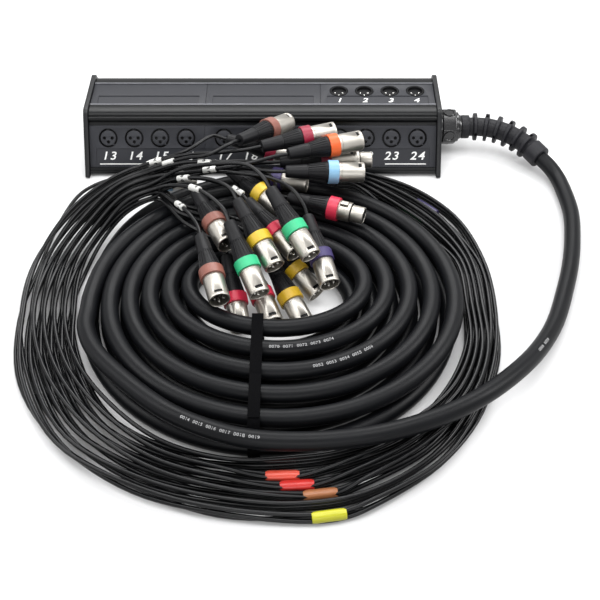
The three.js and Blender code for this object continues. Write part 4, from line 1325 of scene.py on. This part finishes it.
# %% [markdown]
# ## The tails
# Each tail is a thin cable of its own, from the fan-out's mouth through its group's sleeve and
# round the coil to its plug. The curve runs along the tail's own line and a little way into the
# plug's boot.

# %% Tails
TAIL_ENTRY = 5
for plug in PLUGS:
    group = GROUPS[plug["lane"][0]][0]
    ahead, _, tip = plug_frame(plug)
    plug["tail"] = cable(f"tail_{plug['node']}", plug["line"] + [tip + ahead * TAIL_ENTRY],
                         TAIL_RADIUS, TAIL_JACKET, 3)
    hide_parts(f"tails_{group}")
print(len(PLUGS), "tails")

# %% [markdown]
# ## Group sleeves
# A short coloured heat-shrink tube gathers the tails of a group. It is a tube with a waist at
# each end, where it has shrunk onto the tails, made straight and then carried onto the band.

# %% Group sleeves
def placed(ahead, rise, at):
    """The matrix that lays +Z along ahead and +Y along rise, at a place."""
    side = rise.cross(ahead)
    matrix = Matrix((side, rise, ahead)).transposed().to_4x4()
    matrix.translation = at
    return matrix


half_sleeve = SLEEVE_LENGTH / 2
sleeve_stations = [(-half_sleeve, 3.2), (-half_sleeve, 4.1), (-half_sleeve + 1.2, 4.35),
                   (-half_sleeve + 4, 4.62), (-3, 4.7), (3, 4.66), (half_sleeve - 4, 4.7),
                   (half_sleeve - 1.2, 4.4), (half_sleeve, 4.15), (half_sleeve, 3.2)]
for column, (group, tone, _) in enumerate(GROUPS):
    middle, ahead, _ = sleeve_frame(column)
    tube = finished(turned(f"sleeve_{group}", sleeve_stations, 40), shrink_sleeve(group, tone))
    fitted(moved(tube, placed(ahead, UP, middle)), "tail")
print(len(GROUPS), "group sleeves")

# %% [markdown]
# ## Number sleeves
# White number sleeves are pushed over the tails just before the plugs. The digits are printed
# three times round the sleeve: flat text, made a mesh and wrapped round the tube. They only
# count the tails.

# %% Number sleeves
NUMBER_LENGTH, NUMBER_RADIUS, NUMBER_BORE = 12.5, 3.1, 2.0
NUMBER_TURNS = (0.0, math.pi * 2 / 3, math.pi * 4 / 3)
half_number = NUMBER_LENGTH / 2
number_stations = [(-half_number, NUMBER_BORE), (-half_number, NUMBER_RADIUS - 0.15),
                   (-half_number + 0.4, NUMBER_RADIUS), (half_number - 0.4, NUMBER_RADIUS),
                   (half_number, NUMBER_RADIUS - 0.15), (half_number, NUMBER_BORE)]


def place_before_plug(plug, before):
    """The placing of a sleeve on a tail, a distance in mm before the plug's boot."""
    line = plug["line"][::-1]
    walked = 0
    for b, a in zip(line, line[1:]):
        walked += (b - a).length
        if walked >= before:
            ahead = (b - a).normalized()
            side = ahead.cross(UP).normalized()
            return placed(ahead, side.cross(ahead), (a + b) / 2)


def number_sleeve(plug, text, before):
    name = f"number_{plug['node']}"
    pieces = [finished(turned(name, number_stations, 24), NUMBER_WHITE)]
    for turn in NUMBER_TURNS:
        ink = figure(text, 4.2, shift(0, 0, 0), bold=0.00022, shear=0.0, spacing=1.3)
        pieces.append(wrapped(finished(ink, NUMBER_INK), NUMBER_RADIUS, turn, 1))
    return fitted(moved(joined(name, *pieces), place_before_plug(plug, before)), "tail")


# which plug's tail, and how far before its boot in mm
NUMBERED = [(0, 82), (1, 107), (2, 83), (3, 67), (4, 77), (7, 69), (8, 16), (11, 46), (13, 58),
            (19, 89)]
for index, before in NUMBERED:
    PLUGS[index]["number"] = number_sleeve(PLUGS[index], str(index + 1), before)
print("number sleeves on", len(NUMBERED), "tails")

# %% [markdown]
# ## Plugs
# A cable plug is a rubber boot with fine lengthwise grooves, a coding ring and a metal shell.
# The male shell is an open barrel with three pins on a black insert. The female one is shorter
# and carries a latch. Each plug is modelled standing on its boot's tip, with +Y as its upper
# side, where the latch is. The mesh keeps that place as the attribute local, for the finishes.

# %% Boots and rings
BOOT = [(0, 2.2), (0, 5.2), (0.5, 5.75), (1.2, 5.9), (20.5, 7.25), (20.9, 7.0), (21.7, 7.0),
        (22.1, 7.4), (38.5, 9.9), (40, 10.1), (BOOT_LENGTH, 10)]
RING_END = BOOT_LENGTH + RING_WIDTH
RING = [(BOOT_LENGTH, 9), (BOOT_LENGTH, 11.1), (BOOT_LENGTH + 0.3, 11.4), (RING_END - 0.3, 11.4),
        (RING_END, 11.1), (RING_END, 9)]
GROOVES = 22
GROOVE_EDGE, GROOVE_DEPTH = 0.0002, 0.0005


def select_faces(obj, wanted):
    """In edit mode, selects the faces whose centre, in mm, passes the test."""
    bpy.ops.object.mode_set(mode="EDIT")
    bpy.ops.mesh.select_mode(type="FACE")
    bpy.ops.mesh.select_all(action="DESELECT")
    body = bmesh.from_edit_mesh(obj.data)
    for face in body.faces:
        face.select_set(bool(wanted(face.calc_center_median() / MM)))
    bmesh.update_edit_mesh(obj.data)


def grooved_boot():
    """The boot, with a groove pressed into every second face between its crease and the ring."""
    boot = turned("boot", BOOT, 2 * GROOVES)
    step = math.pi / GROOVES
    select_faces(boot, lambda c: 23 < c.z < 38 and math.floor(math.atan2(c.y, c.x) / step) % 2)
    bpy.ops.mesh.inset(thickness=GROOVE_EDGE, use_individual=True)
    bpy.ops.transform.shrink_fatten(value=-GROOVE_DEPTH)
    mode("OBJECT")
    return finished(boot, BOOT_RUBBER)


print("boot", BOOT_LENGTH, "mm long with", GROOVES, "grooves")

# %% Male and female fronts
MALE_SHELL = [(50.5, 9.3), (51.2, 9.75), (53, 9.75), (53.2, 9.5), (53.8, 9.5), (54, 9.75),
              (69.8, 9.75), (73, 9.75), (75.3, 9.75), (75.8, 9.5), (PLUG_LENGTH, 9.1),
              (PLUG_LENGTH, 8.5), (75.6, 8.2), (64, 8.1)]
FEMALE_SHELL = [(50.5, 9.2), (51.2, 9.5), (62.9, 9.5), (63.3, 9.1), (63.3, 7.2), (64.1, 7.2),
                (64.1, 7.9), (64.5, 8.1), (75.4, 8.1), (PLUG_LENGTH, 7.6), (PLUG_LENGTH, 7),
                (75.5, 6.9)]
MALE_INSERT = [(63.4, 8.3), (64.0, 8.3), (64.2, 7.9), (64.2, 2)]
PLUG_PIN = [(63, 1.15), (73.9, 1.15), (74.4, 0.85), (74.6, 0.3)]
LATCH_SEAT, LATCH_WIDTH, LATCH_Z = 5.777, 7.8, 56.5


def blackened(shell):
    """Gives the selected faces the second finish, a black that paints shade, and leaves edit mode.
    """
    shell.active_material_index = 1
    bpy.ops.object.material_slot_assign()
    mode("OBJECT")
    return shell


def male_front():
    """Shell with a latch window, insert and pins of a male plug."""
    shell = finished(turned("shell", MALE_SHELL), NICKEL, SOCKET_BLACK_AND_SHADE)
    # the latch window is a shallow dent painted black: painted shade for the hole's depth, and the
    # dark insert behind it
    select_faces(shell, lambda c: 69.8 < c.z < 73 and abs(c.x) < 3.8 and c.y > 8.5)
    bpy.ops.mesh.inset(thickness=0.00012)
    bpy.ops.transform.translate(value=(0, -0.0009, 0))
    blackened(shell)
    insert = finished(turned("insert", MALE_INSERT), SOCKET_BLACK_AND_SHADE)
    pins = [moved(finished(turned("pin", PLUG_PIN, 14), CONTACT), shift(x, y, 0))
            for x, y in PIN_PLACES]
    return [shell, insert, *pins]


def female_front():
    """Shell with a latch pocket, and the insert with three holes, of a female plug."""
    shell = turned("shell", FEMALE_SHELL, 40)
    cut(shell, block("pocket", (LATCH_WIDTH, 8, 8), (0, LATCH_SEAT + 4, LATCH_Z), edge=0))
    finished(shell, NICKEL, SOCKET_BLACK_AND_SHADE)
    # the shell's groove is painted black as shade
    select_faces(shell, lambda c: 63.2 < c.z < 64.2)
    blackened(shell)
    holes = [circle(7.0)] + [circle(1.5, x, y, 18) for x, y in PIN_PLACES]
    insert = moved(plate("insert", holes, 6, edge=0.15), shift(0, 0, 75.7))
    return [shell, finished(insert, SOCKET_BLACK_AND_SHADE)]


# %% Whole plugs
def laid(obj, plug):
    """Keeps a piece's own place as the attribute local, and lays it down with its plug."""
    places = obj.data.attributes.new("local", "FLOAT_VECTOR", "POINT")
    for vertex, place in zip(obj.data.vertices, places.data):
        place.vector = vertex.co / MM
    ahead, rise, tip = plug_frame(plug)
    return moved(obj, placed(ahead, rise, tip))


for plug in PLUGS:
    ring = finished(turned("ring", RING, 40), ring_plastics[plug["ring"]])
    front = female_front() if plug["female"] else male_front()
    body = joined(f"body_{plug['node']}", grooved_boot(), ring, *front)
    plug["body"] = fitted(laid(body, plug), "plug", plug["node"])
print(len(PLUGS), "plugs, each", len(PLUGS[0]["body"].data.polygons), "faces")

# %% [markdown]
# ## Latches
# A female plug's latch is a small metal button in a pocket of the shell. Its face is serrated
# for the thumb. It slides inwards, so each latch rides its own moving body.

# %% Latches
LATCH_SIZE = (5, 3, 7)
SERRATIONS = (54.6, 56.0, 57.4)
LATCH_CLEARANCE = 1.6
female_plugs = [plug for plug in PLUGS if plug["female"]]
for i, plug in enumerate(female_plugs, 1):
    latch = block("latch", LATCH_SIZE, (0, LATCH_SEAT + LATCH_CLEARANCE + 1.5, LATCH_Z), edge=0.5)
    for z in SERRATIONS:
        cut(latch, block("serration", (6, 0.5, 0.55), (0, LATCH_SEAT + 4.6, z), edge=0))
    latch.name = f"button_{i}"
    plug["latch"] = fitted(laid(finished(latch, NICKEL), plug), "latch", f"return_latch_{i}",
                           body=f"latch_{i}")
print(len(female_plugs), "latches")

# %% [markdown]
# For each tail, the pieces that go with it are gathered: its plug, the plug's latch and its
# number sleeve.

# %% The pieces with each tail
for plug in PLUGS:
    pieces = [plug[key] for key in ("body", "latch", "number") if key in plug]
print(len(PLUGS), "tails declared")

# %% [markdown]
# ## Floor and lights
# The picture's background is plain white. The floor is bright to the camera, more so far away
# where the lamps don't reach, and less in narrow gaps between cables. It keeps the object's
# shadow and throws white light back. Large soft lights stand behind, above, left, right and in
# front, as in a light tent, so that black surfaces show soft highlights.

# %% Floor
def empty_tree(owner):
    owner.use_nodes = True
    owner.node_tree.nodes.clear()
    return owner.node_tree


def by_eye(tree, unseen, seen):
    """Mixes in a second shader for rays that a viewer sees: straight, mirrored or through glass."""
    path = put(tree, "LightPath").outputs
    mirrored = math_node(tree, "MAXIMUM", path["Is Camera Ray"], path["Is Glossy Ray"])
    eye = math_node(tree, "MAXIMUM", mirrored, path["Is Transmission Ray"])
    choice = put(tree, "MixShader")
    for entry, value in zip(choice.inputs, (eye, unseen, seen)):
        feed(tree, entry, value)
    return choice.outputs[0]


only()
bpy.ops.mesh.primitive_plane_add(size=12, location=(0, 0, -0.0005))
floor = bpy.context.object
floor.name = "floor"
paper = bpy.data.materials.new("paper sweep")
tree = empty_tree(paper)
plain = put(tree, "BsdfDiffuse", Color=(0.4, 0.4, 0.4, 1))
seen_paper = put(tree, "BsdfDiffuse", Color=(0.46, 0.46, 0.465, 1))
place = put(tree, "TexCoord").outputs["Object"]
away = put(tree, "VectorMath", operation="LENGTH")
feed(tree, away.inputs[0], place)
glow = put(tree, "MapRange", Value=away.outputs["Value"], From_Min=0.6, From_Max=1.8, To_Min=0.6,
           To_Max=1.0)
covered = put(tree, "AmbientOcclusion", Distance=0.02)
light = put(tree, "Emission", Color=(1, 1, 1, 1), Strength=math_node(
    tree, "MULTIPLY", glow.outputs["Result"], covered.outputs["AO"]))
seen = put(tree, "AddShader")
feed(tree, seen.inputs[0], seen_paper.outputs[0])
feed(tree, seen.inputs[1], light.outputs[0])
put(tree, "OutputMaterial", Surface=by_eye(tree, plain.outputs[0], seen.outputs[0]))
floor.data.materials.append(paper)
floor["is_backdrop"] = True
print("floor with", len(tree.nodes), "nodes")

# %% World and lights
world = bpy.data.worlds.new("tent")
bpy.context.scene.world = world
tree = empty_tree(world)
around, seen = [put(tree, "Background", Color=(1, 1, 1, 1), Strength=strength).outputs[0]
                for strength in (0.16, 1.0)]
put(tree, "OutputWorld", Surface=by_eye(tree, around, seen))


def softbox(name, place, size, watts):
    """A rectangular soft light that looks at the middle of the object."""
    bpy.ops.object.light_add(type="AREA", location=place)
    lamp = bpy.context.object
    lamp.name = name
    lamp.data.shape = "RECTANGLE"
    lamp.data.size, lamp.data.size_y = size
    lamp.data.energy = watts
    aim = (OBJECT_MIDDLE - Vector(place)).to_track_quat("-Z", "Y")
    lamp.rotation_euler = aim.to_euler()
    lamp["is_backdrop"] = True


OBJECT_MIDDLE = Vector((0.05, -0.2, 0))
softbox("back", (0.05, 0.6, 1.0), (1.3, 0.45), 15)
softbox("overhead", (0.05, -0.4, 1.4), (1.2, 0.5), 13)
softbox("left", (-1.0, -0.35, 0.9), (0.45, 0.8), 6)
softbox("right", (1.2, -0.2, 0.9), (0.4, 0.8), 10)
softbox("front", (0.05, -1.6, 0.62), (1.0, 0.3), 5)
bpy.context.scene.view_settings.view_transform = "Standard"
print("world and five softboxes")

# %% Sizes and the end
low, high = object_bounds()
print("looks box in mm:", [round(side / MM, 1) for side in high - low])
